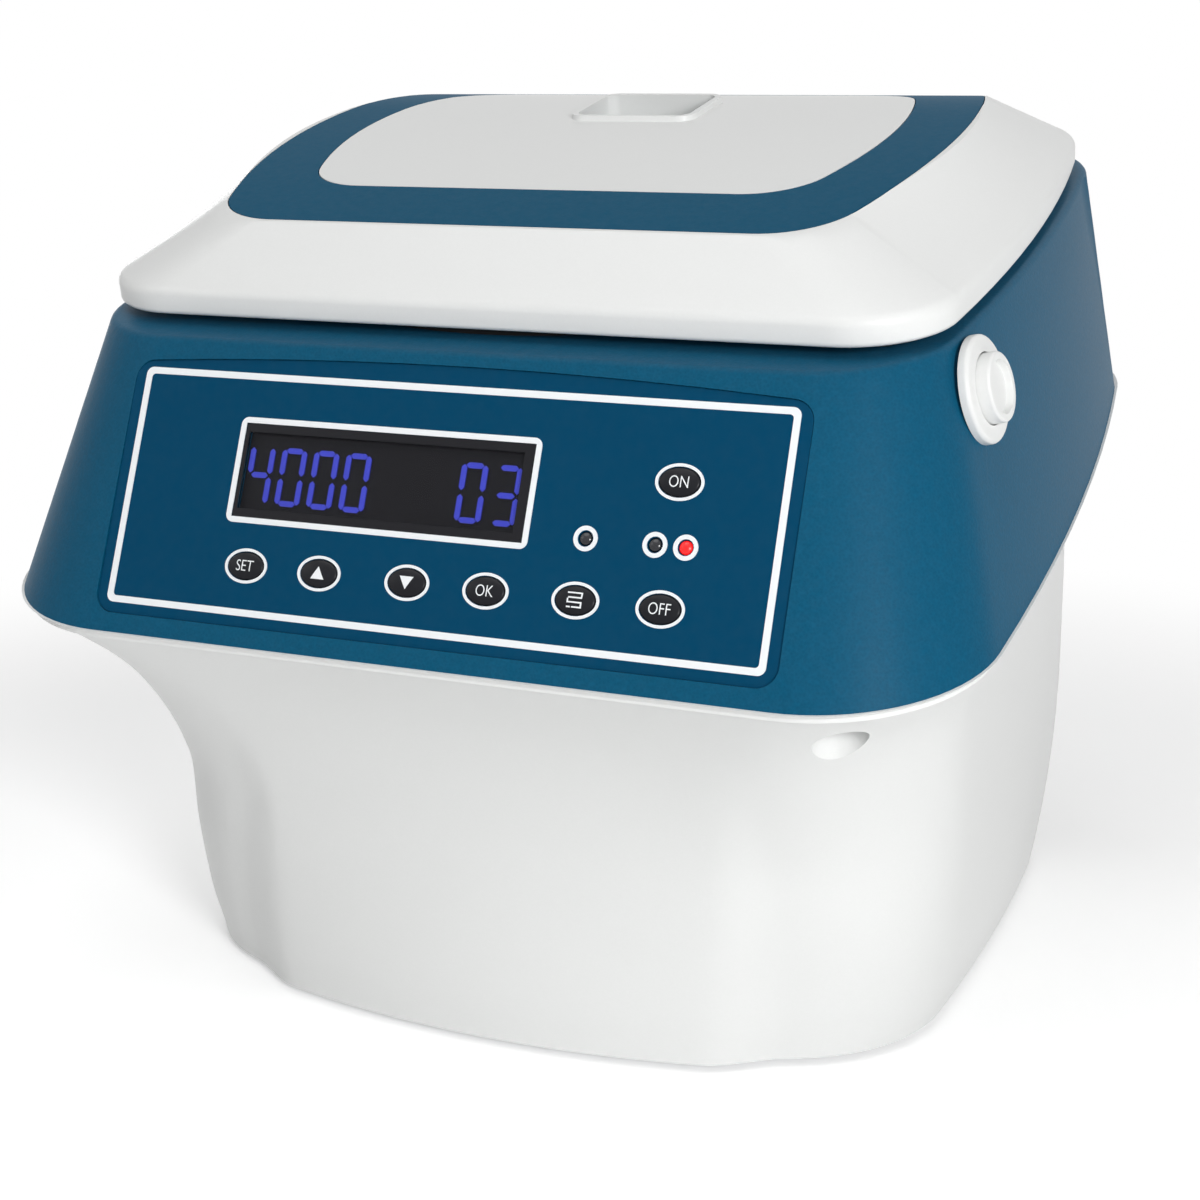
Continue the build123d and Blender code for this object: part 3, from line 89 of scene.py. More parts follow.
LENS_SEAT = 0.2 * MM            # and its edge lies this far below the node's face
DIGIT_POINT = 0.75 * MM         # how far each pointed end of a digit's bar is drawn out
WINDOW_HALF = (57.6 * MM, 14.8 * MM)    # clear field of the display sheet
WINDOW_SHIFT = 1.2 * MM         # that field lies this far left of the sheet's middle
SOCKET_SINK = -0.4              # a screw's socket is set down by this share of the head height
SHANK_RISE = 0.499              # a shank's middle over the head's, a little under touching
SCREWS = (                      # node, body, head height, shank length, tilt
    ("base_screws", "case", 2.2 * MM, 9 * MM, 0.0),
    ("liner_screws", "lid", 1.6 * MM, 13 * MM, LID_SLOPE))

CAMERA_PLACE = (0.3296, -0.8068, 0.3775)
CAMERA_LOOK = (-0.3712, 0.8939, -0.2513)
FLOOR_HALF = 6.0
FADE_LENGTH = 1.9               # the floor is plain white from this many times its fade on
LAMPS = (                       # setting, place, what it points at, diameter
    ("key", (1.25, -1.3, 0.7), (0, -0.05, 0.2), 0.6),
    ("fill", (-1.3, -0.95, 1.0), (0, -0.05, 0.2), 0.8),
    ("rear", (-1.4, 1.7, 0.25), (0, 0, 0.2), 0.9),
    ("top", (-0.3, -0.45, 1.9), (0, 0, 0.2), 1.6))


# ---------------------------------------------------------------- settings
def shade(name, description, value):
    """A colour setting in linear light, written as the 0 to 255 tones of a display."""
    linear = [((c / 255 + 0.055) / 1.055) ** 2.4 if c > 10 else c / 255 / 12.92 for c in value]
    return FloatVectorProperty(name=name, description=description, subtype="COLOR", size=3,
                               min=0, max=1, default=linear)


def length(name, description, millimetres):
    """A length setting, written in millimetres."""
    return FloatProperty(name=name, description=description, subtype="DISTANCE", unit="LENGTH",
                         min=0, default=millimetres * MM)


def amount(name, description, value, unit="NONE"):
    """A plain setting that can't be negative."""
    return FloatProperty(name=name, description=description, unit=unit, min=0, default=value)


class CasingColours(PropertyGroup):
    white: shade("Casing white", "Lower case, lid and release button", (229, 230, 229))
    teal: shade("Casing teal", "Upper case and the band on the lid", (8, 80, 110))
    film: shade("Panel film", "Film over the control panel", (0, 66, 98))
    print_white: shade("Panel print", "Frames, rings and key legends", (240, 243, 245))
    hinge: shade("Hinge paint", "Hinge leaves and brackets", (214, 215, 214))
    liner: shade("Lid liner", "Inner plate of the lid", (198, 200, 200))
    black: shade("Black plastic", "Inlet, switch, fan and rotor knob", (26, 26, 28))


class PanelColours(PropertyGroup):
    display: shade("Display black", "Face of the display", (18, 18, 24))
    digits: shade("Lit digits", "Lit bars of the display", (62, 70, 200))
    key: shade("Key black", "Key domes", (24, 25, 30))
    lamp_off: shade("Unlit lamp", "Lens of an unlit lamp", (26, 28, 34))
    lamp_on: shade("Lit lamp", "Lens of the lit lamp", (222, 22, 22))
    board: shade("Solder mask", "Circuit boards", (16, 74, 46))


class MetalColours(PropertyGroup):
    stainless: shade("Stainless", "Chamber bowl", (196, 197, 199))
    zinc: shade("Zinc plate", "Base plate and lock parts", (176, 180, 184))
    alloy: shade("Anodised alloy", "Rotor yoke and carriers", (186, 189, 193))
    steel: shade("Ground steel", "Shafts, pins and screws", (190, 190, 190))
    enamel: shade("Motor enamel", "Motor body", (50, 53, 58))
    brass: shade("Contact brass", "Mains contacts", (205, 178, 110))
    rubber: shade("Rubber", "Feet, dampers, seal and cable sheath", (22, 22, 23))


class LegendSizes(PropertyGroup):
    letter: length("Letter height", "Cap height of the key legends", 4.3)
    arrow: length("Arrow size", "Width of the arrow on a key", 5.6)
    print_t: length("Print thickness", "How far the print stands off a key", 0.05)
    dome: length("Dome rise", "Rise of a key dome over its edge", 0.9)
    lens: length("Lens rise", "Rise of a lamp lens", 1.1)


class ScrewSizes(PropertyGroup):
    head_r: length("Head radius", "Radius of a screw head", 4.0)
    socket_r: length("Socket radius", "Across the corners of the hex socket, halved", 2.1)
    shank_r: length("Shank radius", "Radius of a screw shank", 1.75)
    sides: IntProperty(name="Head sides", description="Sides of a screw head", min=12, max=96, default=40)


class StudioSettings(PropertyGroup):
    world: amount("Room light", "Strength of the even room light", 0.22)
    key: amount("Key light", "Power of the front lamp", 21, "POWER")
    fill: amount("Fill light", "Power of the left lamp", 1.5, "POWER")
    rear: amount("Rear light", "Power of the rear lamp", 5, "POWER")
    top: amount("Top light", "Power of the overhead lamp", 10, "POWER")
    floor: shade("Floor", "Colour of the floor", (250, 250, 250))
    fade: length("Floor fade", "Where the floor begins to turn into plain white", 420)
    lift: amount("Floor lift", "White added to the floor where it is looked at", 0.33)


class CentrifugeSettings(PropertyGroup):
    casing: PointerProperty(type=CasingColours)
    panel: PointerProperty(type=PanelColours)
    metal: PointerProperty(type=MetalColours)
    legend: PointerProperty(type=LegendSizes)
    screw: PointerProperty(type=ScrewSizes)
    studio: PointerProperty(type=StudioSettings)


# ---------------------------------------------------------------- shader node groups
def shader_group(name, inputs, outputs):
    """An empty shader group with its sockets. Returns the group, its input node and its output node."""
    group = bpy.data.node_groups.new(name, "ShaderNodeTree")
    for title, kind, value in inputs:
        socket = group.interface.new_socket(name=title, in_out="INPUT", socket_type=kind)
        socket.default_value = value
    for title, kind in outputs:
        group.interface.new_socket(name=title, in_out="OUTPUT", socket_type=kind)
    return group, group.nodes.new("NodeGroupInput"), group.nodes.new("NodeGroupOutput")


def add(tree, kind, **values):
    """A node whose named settings and input sockets are given together."""
    node = tree.nodes.new(kind)
    for title, value in values.items():
        if title in node.inputs:
            node.inputs[title].default_value = value
        else:
            setattr(node, title, value)
    return node


def maths(tree, operation, a, b):
    """A Math node fed by sockets or numbers."""
    node = add(tree, "ShaderNodeMath", operation=operation)
    for slot, value in zip(node.inputs, (a, b)):
        if isinstance(value, (int, float)):
            slot.default_value = value
        else:
            tree.links.new(value, slot)
    return node.outputs[0]


def mould_grain():
    """Leather-like grain of a moulded case: cells broken up by noise."""
    group, given, out = shader_group(
        "Mould grain", [("Scale", "NodeSocketFloat", 900.0), ("Softness", "NodeSocketFloat", 0.5)],
        [("Height", "NodeSocketFloat"), ("Sheen break", "NodeSocketFloat")])
    link = group.links.new
    place = add(group, "ShaderNodeTexCoord")
    cells = add(group, "ShaderNodeTexVoronoi", feature="SMOOTH_F1")
    fine = add(group, "ShaderNodeTexNoise", Detail=3.0, Roughness=0.6)
    link(place.outputs["Object"], cells.inputs["Vector"])
    link(place.outputs["Object"], fine.inputs["Vector"])
    link(given.outputs["Scale"], cells.inputs["Scale"])
    link(given.outputs["Softness"], cells.inputs["Smoothness"])
    link(maths(group, "MULTIPLY", given.outputs["Scale"], 0.6), fine.inputs["Scale"])
    mixed = maths(group, "ADD", cells.outputs["Distance"], fine.outputs["Fac"])
    link(maths(group, "MULTIPLY", mixed, 0.5), out.inputs["Height"])
    link(fine.outputs["Fac"], out.inputs["Sheen break"])
    return group


def tone_drift():
    """Slow colour drift with a faint layer of settled dust on faces that look up."""
    group, given, out = shader_group(
        "Tone drift", [("Color", "NodeSocketColor", (1, 1, 1, 1)), ("Drift", "NodeSocketFloat", 0.04),
                       ("Dust", "NodeSocketFloat", 0.03)],
        [("Color", "NodeSocketColor")])
    link = group.links.new
    place = add(group, "ShaderNodeTexCoord")
    slow = add(group, "ShaderNodeTexNoise", Scale=9.0, Detail=2.0)
    specks = add(group, "ShaderNodeTexNoise", Scale=260.0, Detail=4.0)
    link(place.outputs["Object"], slow.inputs["Vector"])
    link(place.outputs["Object"], specks.inputs["Vector"])
    tone = maths(group, "SUBTRACT", slow.outputs["Fac"], 0.5)
    tone = maths(group, "MULTIPLY", tone, given.outputs["Drift"])
    bright = add(group, "ShaderNodeHueSaturation")
    link(given.outputs["Color"], bright.inputs["Color"])
    link(maths(group, "ADD", tone, 1.0), bright.inputs["Value"])
    facing = add(group, "ShaderNodeSeparateXYZ")
    link(add(group, "ShaderNodeNewGeometry").outputs["Normal"], facing.inputs[0])
    up = maths(group, "MAXIMUM", facing.outputs["Z"], 0.0)
    mask = maths(group, "MULTIPLY", up, specks.outputs["Fac"])
    mask = maths(group, "MULTIPLY", mask, given.outputs["Dust"])
    dusty = add(group, "ShaderNodeMix", data_type="RGBA")
    dusty.inputs[7].default_value = DUST_TONE
    link(mask, dusty.inputs[0])
    link(bright.outputs["Color"], dusty.inputs[6])
    link(dusty.outputs[2], out.inputs["Color"])
    return group


def brush_lines():
    """Fine brush marks, stretched along one axis or turned round an upright one."""
    group, given, out = shader_group(
        "Brush lines", [("Stretch", "NodeSocketVector", (40.0, 900.0, 900.0)),
                        ("Round", "NodeSocketFloat", 0.0)],
        [("Height", "NodeSocketFloat"), ("Roughness", "NodeSocketFloat")])
    link = group.links.new
    place = add(group, "ShaderNodeTexCoord")
    centre = add(group, "ShaderNodeVectorMath", operation="SUBTRACT")
    centre.inputs[1].default_value = ROTOR_AXIS
    link(place.outputs["Object"], centre.inputs[0])
    split = add(group, "ShaderNodeSeparateXYZ")
    link(centre.outputs[0], split.inputs[0])
    radius = maths(group, "SQRT", maths(group, "ADD", maths(group, "POWER", split.outputs["X"], 2.0),
                                        maths(group, "POWER", split.outputs["Y"], 2.0)), 0.0)
    rings = add(group, "ShaderNodeCombineXYZ")
    link(radius, rings.inputs["X"])
    link(split.outputs["Z"], rings.inputs["Z"])
    choice = add(group, "ShaderNodeMix", data_type="VECTOR")
    link(given.outputs["Round"], choice.inputs[0])
    link(centre.outputs[0], choice.inputs[4])
    link(rings.outputs[0], choice.inputs[5])
    scaled = add(group, "ShaderNodeVectorMath", operation="MULTIPLY")
    link(choice.outputs[1], scaled.inputs[0])
    link(given.outputs["Stretch"], scaled.inputs[1])
    noise = add(group, "ShaderNodeTexNoise", Scale=1.0, Detail=5.0, Roughness=0.7)
    link(scaled.outputs[0], noise.inputs["Vector"])
    link(noise.outputs["Fac"], out.inputs["Height"])
    spread = maths(group, "MULTIPLY", noise.outputs["Fac"], BRUSH_SPREAD)
    link(maths(group, "ADD", spread, BRUSH_LEAST), out.inputs["Roughness"])
    return group


def group_node(tree, group, **values):
    """A shader group placed in a tree, with its own values."""
    node = tree.nodes.new("ShaderNodeGroup")
    node.node_tree = bpy.data.node_groups[group]
    for title, value in values.items():
        node.inputs[title.replace("_", " ")].default_value = value
    return node


def seen_directly(tree):
    """1 for rays of the camera, of mirrors and of clear sheets, 0 for rays that light the object."""
    rays = add(tree, "ShaderNodeLightPath")
    mirrored = maths(tree, "MAXIMUM", rays.outputs["Is Glossy Ray"], rays.outputs["Is Transmission Ray"])
    return maths(tree, "MAXIMUM", rays.outputs["Is Camera Ray"], mirrored)


def surface(name):
    """An empty material: its tree and its Principled shader."""
    material = bpy.data.materials.new(name)
    material.use_nodes = True
    return material, material.node_tree, material.node_tree.nodes["Principled BSDF"]


def moulded(name, colour, grain=900.0, depth=0.02, roughness=0.42, drift=0.04, coat=0.0, gloss=0.2,
            grain_shade=0.03):
    """Moulded plastic or rubber. Its grain stands out and breaks the sheen, and its colour carries painted
    shade: darker in the grain's pits, lighter on its tops.
    """
    material, tree, shader = surface(name)
    link = tree.links.new
    tone = group_node(tree, "Tone drift", Color=(*colour, 1), Drift=drift)
    skin = group_node(tree, "Mould grain", Scale=grain)
    # painted shade of the grain: colour darkened in its pits and lightened on its tops
    grain_shaded = add(tree, "ShaderNodeHueSaturation")
    pits = maths(tree, "SUBTRACT", skin.outputs["Height"], GRAIN_MIDDLE)
    pits = maths(tree, "MULTIPLY", pits, grain_shade)
    link(maths(tree, "ADD", pits, 1.0), grain_shaded.inputs["Value"])
    link(tone.outputs["Color"], grain_shaded.inputs["Color"])
    link(grain_shaded.outputs["Color"], shader.inputs["Base Color"])
    sheen = maths(tree, "MULTIPLY", skin.outputs["Sheen break"], SHEEN_SPREAD)
    sheen = maths(tree, "ADD", sheen, roughness - SHEEN_SPREAD / 2)
    link(sheen, shader.inputs["Roughness"])
    bump = add(tree, "ShaderNodeBump", Strength=0.5, Distance=depth * MM)
    link(skin.outputs["Height"], bump.inputs["Height"])
    link(bump.outputs[0], shader.inputs["Normal"])
    shader.inputs["Coat Weight"].default_value = coat
    shader.inputs["Coat Roughness"].default_value = 0.12
    shader.inputs["Specular IOR Level"].default_value = gloss
    return material


def metal(name, colour, stretch=(60, 900, 900), turned=0.0, depth=0.01, roughness=0.0, drift=0.06):
    """Brushed, turned or blasted metal."""
    material, tree, shader = surface(name)
    link = tree.links.new
    tone = group_node(tree, "Tone drift", Color=(*colour, 1), Drift=drift, Dust=0.0)
    marks = group_node(tree, "Brush lines", Stretch=stretch, Round=turned)
    link(tone.outputs["Color"], shader.inputs["Base Color"])
    link(maths(tree, "ADD", marks.outputs["Roughness"], roughness), shader.inputs["Roughness"])
    bump = add(tree, "ShaderNodeBump", Strength=0.35, Distance=depth * MM)
    link(marks.outputs["Height"], bump.inputs["Height"])
    link(bump.outputs[0], shader.inputs["Normal"])
    shader.inputs["Metallic"].default_value = 1.0
    return material


def glowing(name, colour, strength):
    """Lit plastic, whose colour drifts slowly, as a lamp behind a diffuser does."""
    material, tree, shader = surface(name)
    link = tree.links.new
    tone = group_node(tree, "Tone drift", Color=(*colour, 1), Drift=0.25, Dust=0.0)
    link(tone.outputs["Color"], shader.inputs["Base Color"])
    link(tone.outputs["Color"], shader.inputs["Emission Color"])
    shader.inputs["Emission Strength"].default_value = strength
    shader.inputs["Roughness"].default_value = 0.3
    return material


def clear_sheet(name, colour, alpha, roughness):
    """Clear or smoked plastic sheet."""
    material, tree, shader = surface(name)
    link = tree.links.new
    tone = group_node(tree, "Tone drift", Color=(*colour, 1), Drift=0.05, Dust=0.01)
    skin = group_node(tree, "Mould grain", Scale=60.0)
    link(tone.outputs["Color"], shader.inputs["Base Color"])
    link(maths(tree, "ADD", maths(tree, "MULTIPLY", skin.outputs["Sheen break"], 0.04), roughness),
         shader.inputs["Roughness"])
    shader.inputs["Alpha"].default_value = alpha
    shader.inputs["Specular IOR Level"].default_value = 0.22
    return material


def masked_sheet(name, colour, clear, roughness, middle, halves):
    """Smoked sheet with an opaque printed border round a clear field."""
    material = clear_sheet(name, colour, clear, roughness)
    tree = material.node_tree
    shader = tree.nodes["Principled BSDF"]
    place = add(tree, "ShaderNodeTexCoord")
    outside = 0.0
    for axis, half in zip((PANEL_RIGHT, PANEL_UP), halves):
        along = add(tree, "ShaderNodeVectorMath", operation="DOT_PRODUCT")
        along.inputs[1].default_value = axis
        tree.links.new(place.outputs["Object"], along.inputs[0])
        away = maths(tree, "ABSOLUTE", maths(tree, "SUBTRACT", along.outputs["Value"], middle.dot(axis)), 0.0)
        outside = maths(tree, "MAXIMUM", maths(tree, "GREATER_THAN", away, half), outside)
    tree.links.new(maths(tree, "MAXIMUM", outside, clear), shader.inputs["Alpha"])
    return material


# ---------------------------------------------------------------- mesh helpers
def paint(material, *names):
    """Gives CAD nodes a material."""
    for name in names:
        mesh = NODES[name].data
        mesh.materials.clear()
        mesh.materials.append(material)


def piece(name, mesh, material, body, slot, *replaced):
    """A finished piece that rides on a body and may stand for CAD nodes."""
    obj = bpy.data.objects.new(name, mesh)
    bpy.context.scene.collection.objects.link(obj)
    if material is not None:
        mesh.materials.clear()
        mesh.materials.append(material)
    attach(obj, body)
    if replaced:
        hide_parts(*replaced)
    return obj


def soft_copy(node, name, material, body, slot, angle=30):
    """A merged, smooth-shaded copy of a CAD node, with its hard edges kept."""
    mesh = NODES[node].data.copy()
    form = bmesh.new()
    form.from_mesh(mesh)
    bmesh.ops.remove_doubles(form, verts=form.verts, dist=MERGE)
    bmesh.ops.dissolve_degenerate(form, edges=form.edges, dist=SLIVER)
    for face in form.faces:
        face.smooth = True
    for edge in form.edges:
        edge.smooth = len(edge.link_faces) == 2 and edge.calc_face_angle(0) < math.radians(angle)
    form.to_mesh(mesh)
    form.free()
    return piece(name, mesh, material, body, slot, node)


def islands(node):
    """The separate lumps of a CAD node, each as a list of points."""
    form = bmesh.new()
    form.from_mesh(NODES[node].data)
    bmesh.ops.remove_doubles(form, verts=form.verts, dist=MERGE)
    seen, lumps = set(), []
    for start in form.verts:
        if start in seen:
            continue
        lump, queue = [], [start]
        seen.add(start)
        while queue:
            vert = queue.pop()
            lump.append(vert.co.copy())
            for edge in vert.link_edges:
                other = edge.other_vert(vert)
                if other not in seen:
                    seen.add(other)
                    queue.append(other)
        lumps.append(lump)
    form.free()
    return lumps


def middle_and_reach(points, axes):
    """Middle of some points and half their reach, along three square axes."""
    middle, halves = Vector((0, 0, 0)), []
    for axis in axes:
        spread = [p.dot(axis) for p in points]
        middle += axis * (min(spread) + max(spread)) / 2
        halves.append((max(spread) - min(spread)) / 2)
    return middle, halves


def local_frame(origin, right, up, normal):
    """Matrix that takes x, y and z to three square axes at an origin."""
    return Matrix((
        (right.x, up.x, normal.x, origin.x),
        (right.y, up.y, normal.y, origin.y),
        (right.z, up.z, normal.z, origin.z),
        (0, 0, 0, 1)))


def node_frame(node, right, normal):
    """Frame on the outer face of a node: its middle across, its highest point along the normal."""
    up = normal.cross(right)
    spots = [v.co for v in NODES[node].data.vertices]
    middle, _ = middle_and_reach(spots, (right, up))
    middle += normal * max(s.dot(normal) for s in spots)
    return local_frame(middle, right, up, normal)


def dome_share(t):
    """Height of a dome as a share of its rise, at share t of the way from its crown to its edge."""
    return (1 - t ** DOME_FALL) ** DOME_ROUND if t < 1 else 0


def dome_mesh(name, half_w, half_h, rise, skirt, rings=10, sides=64):
    """Closed dome on a straight skirt. Its edge is at height 0, its crown at rise."""
    form = bmesh.new()
    loops = []
    for i in range(1, rings + 1):
        t = i / rings
        height = rise * dome_share(t)
        loops.append([form.verts.new((half_w * t * math.cos(a), half_h * t * math.sin(a), height))
                      for a in (2 * math.pi * k / sides for k in range(sides))])
    loops.append([form.verts.new((v.co.x, v.co.y, -skirt)) for v in loops[-1]])
    crown = form.verts.new((0, 0, rise))
    foot = form.verts.new((0, 0, -skirt))
    for k in range(sides):
        n = (k + 1) % sides
        form.faces.new((crown, loops[0][k], loops[0][n]))
        form.faces.new((foot, loops[-1][n], loops[-1][k]))
        for inner, outer in zip(loops, loops[1:]):
            form.faces.new((inner[k], outer[k], outer[n], inner[n]))
    for face in form.faces:
        face.smooth = True
    for edge in form.edges:
        edge.smooth = edge.calc_face_angle(0) < math.radians(50)
    mesh = bpy.data.meshes.new(name)
    form.to_mesh(mesh)
    form.free()
    return mesh


def text_mesh(name, words, height, thickness, narrow):
    """Flat letters, centred, as a mesh."""
    curve = bpy.data.curves.new(name, "FONT")
    curve.body = words
    curve.size = height * FONT_PER_CAP
    curve.align_x = "CENTER"
    curve.align_y = "CENTER"
    curve.extrude = thickness / 2
    curve.offset = -height * FONT_THINNING
    curve.resolution_u = 6
    holder = bpy.data.objects.new(name + "_outline", curve)
    bpy.context.scene.collection.objects.link(holder)
    bpy.context.view_layer.update()
    made = bpy.data.meshes.new_from_object(holder.evaluated_get(bpy.context.evaluated_depsgraph_get()))
    bpy.data.objects.remove(holder)
    bpy.data.curves.remove(curve)
    xs = [v.co.x for v in made.vertices]
    ys = [v.co.y for v in made.vertices]
    shift = Matrix.Translation((-(min(xs) + max(xs)) / 2, -(min(ys) + max(ys)) / 2, 0))
    made.transform(Matrix.Diagonal((narrow, 1, 1, 1)) @ shift)
    made.name = name
    return made


def strokes_mesh(name, outlines, thickness):
    """Flat closed outlines given a thickness, as one mesh."""
    form = bmesh.new()
    for outline in outlines:
        low = [form.verts.new((x, y, -thickness / 2)) for x, y in outline]
        high = [form.verts.new((x, y, thickness / 2)) for x, y in outline]
        form.faces.new(list(reversed(low)))
        form.faces.new(high)
        for k in range(len(outline)):
            n = (k + 1) % len(outline)
            form.faces.new((low[k], low[n], high[n], high[k]))
    bmesh.ops.recalc_face_normals(form, faces=form.faces)
    mesh = bpy.data.meshes.new(name)
    form.to_mesh(mesh)
    form.free()
    return mesh


def bar(x0, y0, x1, y1, width):
    """Outline of a straight stroke."""
    along = Vector((x1 - x0, y1 - y0)).normalized() * width / 2
    side = Vector((-along.y, along.x))
    return [(x0 - along.x - side.x, y0 - along.y - side.y), (x1 + along.x - side.x, y1 + along.y - side.y),
            (x1 + along.x + side.x, y1 + along.y + side.y), (x0 - along.x + side.x, y0 - along.y + side.y)]


def merged(name, meshes):
    """One mesh of several, which are used up."""
    form = bmesh.new()
    for mesh in meshes:
        form.from_mesh(mesh)
        bpy.data.meshes.remove(mesh)
    whole = bpy.data.meshes.new(name)
    form.to_mesh(whole)
    form.free()
    return whole


# ---------------------------------------------------------------- operators
class CENTRIFUGE_OT_casing(Operator):
    """Finish the lower case, the upper case, the lid and the hinges"""
    bl_idname = "centrifuge.casing"
    bl_label = "Casing"

    def execute(self, context):
        tones = context.scene.centrifuge.casing
        white = moulded("Casing_white", tones.white, grain=1100, depth=0.012, roughness=0.36, drift=0.015,
                        coat=0.08)
        teal = moulded("Casing_teal", tones.teal, grain=950, depth=0.14, roughness=0.4, drift=0.06,
                       gloss=0.05, grain_shade=0.45)
        band = moulded("Band_teal", tones.teal, grain=950, depth=0.1, roughness=0.45, drift=0.05,
                       gloss=0.012, grain_shade=0.2)
        hinge = moulded("Hinge_paint", tones.hinge, grain=1500, depth=0.01, roughness=0.3)
        liner = moulded("Lid_liner", tones.liner, grain=900, depth=0.03, roughness=0.5)
        soft_copy("lower_case", "casing_lower", white, "case", "white_shell")
        soft_copy("upper_case", "casing_upper", teal, "case", "teal_shell")
        soft_copy("lid_shell", "lid_cover", white, "lid", "white_shell")
        soft_copy("lid_ring", "lid_band", band, "lid", "teal_shell")
        paint(hinge, "hinge_brackets", "hinge_leaves")
        paint(liner, "lid_liner")
        paint(clear_sheet("Sight_sheet", (0.8, 0.84, 0.85), alpha=0.35, roughness=0.08), "lid_window")
        return {"FINISHED"}


class CENTRIFUGE_OT_release(Operator):
    """Finish the release button and its bezel"""
    bl_idname = "centrifuge.release"
    bl_label = "Release button"

    def execute(self, context):
        white = bpy.data.materials["Casing_white"]
        soft_copy("release_bezel", "button_bezel", white, "case", "white_shell")
        soft_copy("release_button", "button_cap", white, "button", "white_shell")
        return {"FINISHED"}


class CENTRIFUGE_OT_panel(Operator):
    """Finish the control panel: film, print, display and lamps"""
    bl_idname = "centrifuge.panel"
    bl_label = "Control panel"

    def execute(self, context):
        tones = context.scene.centrifuge
        sizes = tones.legend
        film = moulded("Panel_film", tones.casing.film, grain=1500, depth=0.01, roughness=0.3, drift=0.1,
                       gloss=0.02)
        paint(film, "panel_overlay")
        printed = moulded("Panel_print", tones.casing.print_white, grain=2500, depth=0.004, roughness=0.4)
        paint(printed, "panel_print")
        face = moulded("Display_face", tones.panel.display, grain=2500, depth=0.004, roughness=0.5)
        paint(face, "display_module")
        window = node_frame("display_window", PANEL_RIGHT, PANEL_NORMAL).translation
        field = window - WINDOW_SHIFT * PANEL_RIGHT
        smoked = masked_sheet("Display_sheet", tones.panel.display, clear=0.16, roughness=0.16, middle=field,
                              halves=WINDOW_HALF)
        paint(smoked, "display_window")
        board = moulded("Solder_mask", tones.panel.board, grain=700, depth=0.02, roughness=0.32, coat=0.2)
        paint(board, "key_board")
        unlit = moulded("Lamp_unlit", tones.panel.lamp_off, grain=2000, depth=0.004, roughness=0.2, coat=0.6)
        lit = glowing("Lamp_lit", tones.panel.lamp_on, strength=0.9)
        axes = (PANEL_RIGHT, PANEL_UP, PANEL_NORMAL)
        for node, material, slot in (("status_lights", unlit, "lamp_dark"), ("ready_light", lit, "lamp_red")):
            lenses = []
            for lump in islands(node):
                middle, (half_w, half_h, half_d) = middle_and_reach(lump, axes)
                lens = dome_mesh("lens", half_w - LENS_GAP, half_h - LENS_GAP, sizes.lens, 2 * half_d,
                                 rings=7, sides=40)
                lens.transform(local_frame(middle + PANEL_NORMAL * (half_d - LENS_SEAT), *axes))
                lenses.append(lens)
            piece(node + "_lens", merged(node + "_lens", lenses), material, "case", slot, node)

        bars = []
        for lump in islands("display_digits"):
            middle, (half_w, half_h, half_d) = middle_and_reach(lump, axes)
            half, long, upright = min(half_w, half_h), max(half_w, half_h) + DIGIT_POINT, half_h > half_w
            shape = [(-long, 0), (half - long, -half), (long - half, -half),
                     (long, 0), (long - half, half), (half - long, half)]
            if upright:
                shape = [(-y, x) for x, y in shape]
            segment = strokes_mesh("bar", [shape], 2 * half_d)
            segment.transform(local_frame(middle, *axes))
            bars.append(segment)
        blue = glowing("Display_digits", tones.panel.digits, strength=0.55)
        piece("digit_segments", merged("digit_segments", bars), blue, "case", "digit_blue", "display_digits")
        return {"FINISHED"}


class CENTRIFUGE_OT_keys(Operator):
    """Make the domed keys and print their legends"""
    bl_idname = "centrifuge.keys"
    bl_label = "Keys"

    def execute(self, context):
        tones = context.scene.centrifuge
        sizes = tones.legend
        black = moulded("Key_dome", tones.panel.key, grain=1800, depth=0.006, roughness=0.36, coat=0.08,
                        gloss=0.1)
        printed = bpy.data.materials["Panel_print"]
        a = sizes.arrow / 2
        marks = {
            "set": "SET", "ok": "OK", "off": "OFF", "on": "ON",
            "up": [[(-a, -a * 0.8), (a, -a * 0.8), (0, a * 0.9)]],
            "down": [[(-a, a * 0.8), (0, -a * 0.9), (a, a * 0.8)]],
            "mode": [bar(*(v * MM for v in stroke), STROKE_W) for stroke in SYMBOL_MM],
        }
        half_w, half_h = KEY_HALF
        for key, mark in marks.items():
            node = "key_" + key
            seat = node_frame(node, PANEL_RIGHT, PANEL_NORMAL) @ Matrix.Translation((0, 0, KEY_EDGE))
            cap = dome_mesh(node + "_cap", half_w, half_h, sizes.dome, KEY_SKIRT)
            cap.transform(seat)
            piece(node + "_cap", cap, black, node, "key_black", node)
            if isinstance(mark, str):
                legend = text_mesh(node + "_legend", mark, sizes.letter, LEGEND_T, LEGEND_NARROW)
            else:
                legend = strokes_mesh(node + "_legend", mark, LEGEND_T)
            form = bmesh.new()
            form.from_mesh(legend)
            bmesh.ops.triangulate(form, faces=form.faces)
            long_edges = [e for e in form.edges if e.calc_length() > LEGEND_EDGE]
            bmesh.ops.subdivide_edges(form, edges=long_edges, cuts=2)
            bmesh.ops.triangulate(form, faces=form.faces)
            for vert in form.verts:
                t = min(1, math.hypot(vert.co.x / half_w, vert.co.y / half_h))
                vert.co.z += sizes.dome * dome_share(t) + sizes.print_t
            form.to_mesh(legend)
            form.free()
            legend.transform(seat)
            piece(node + "_legend", legend, printed, node, "print_white")
        return {"FINISHED"}


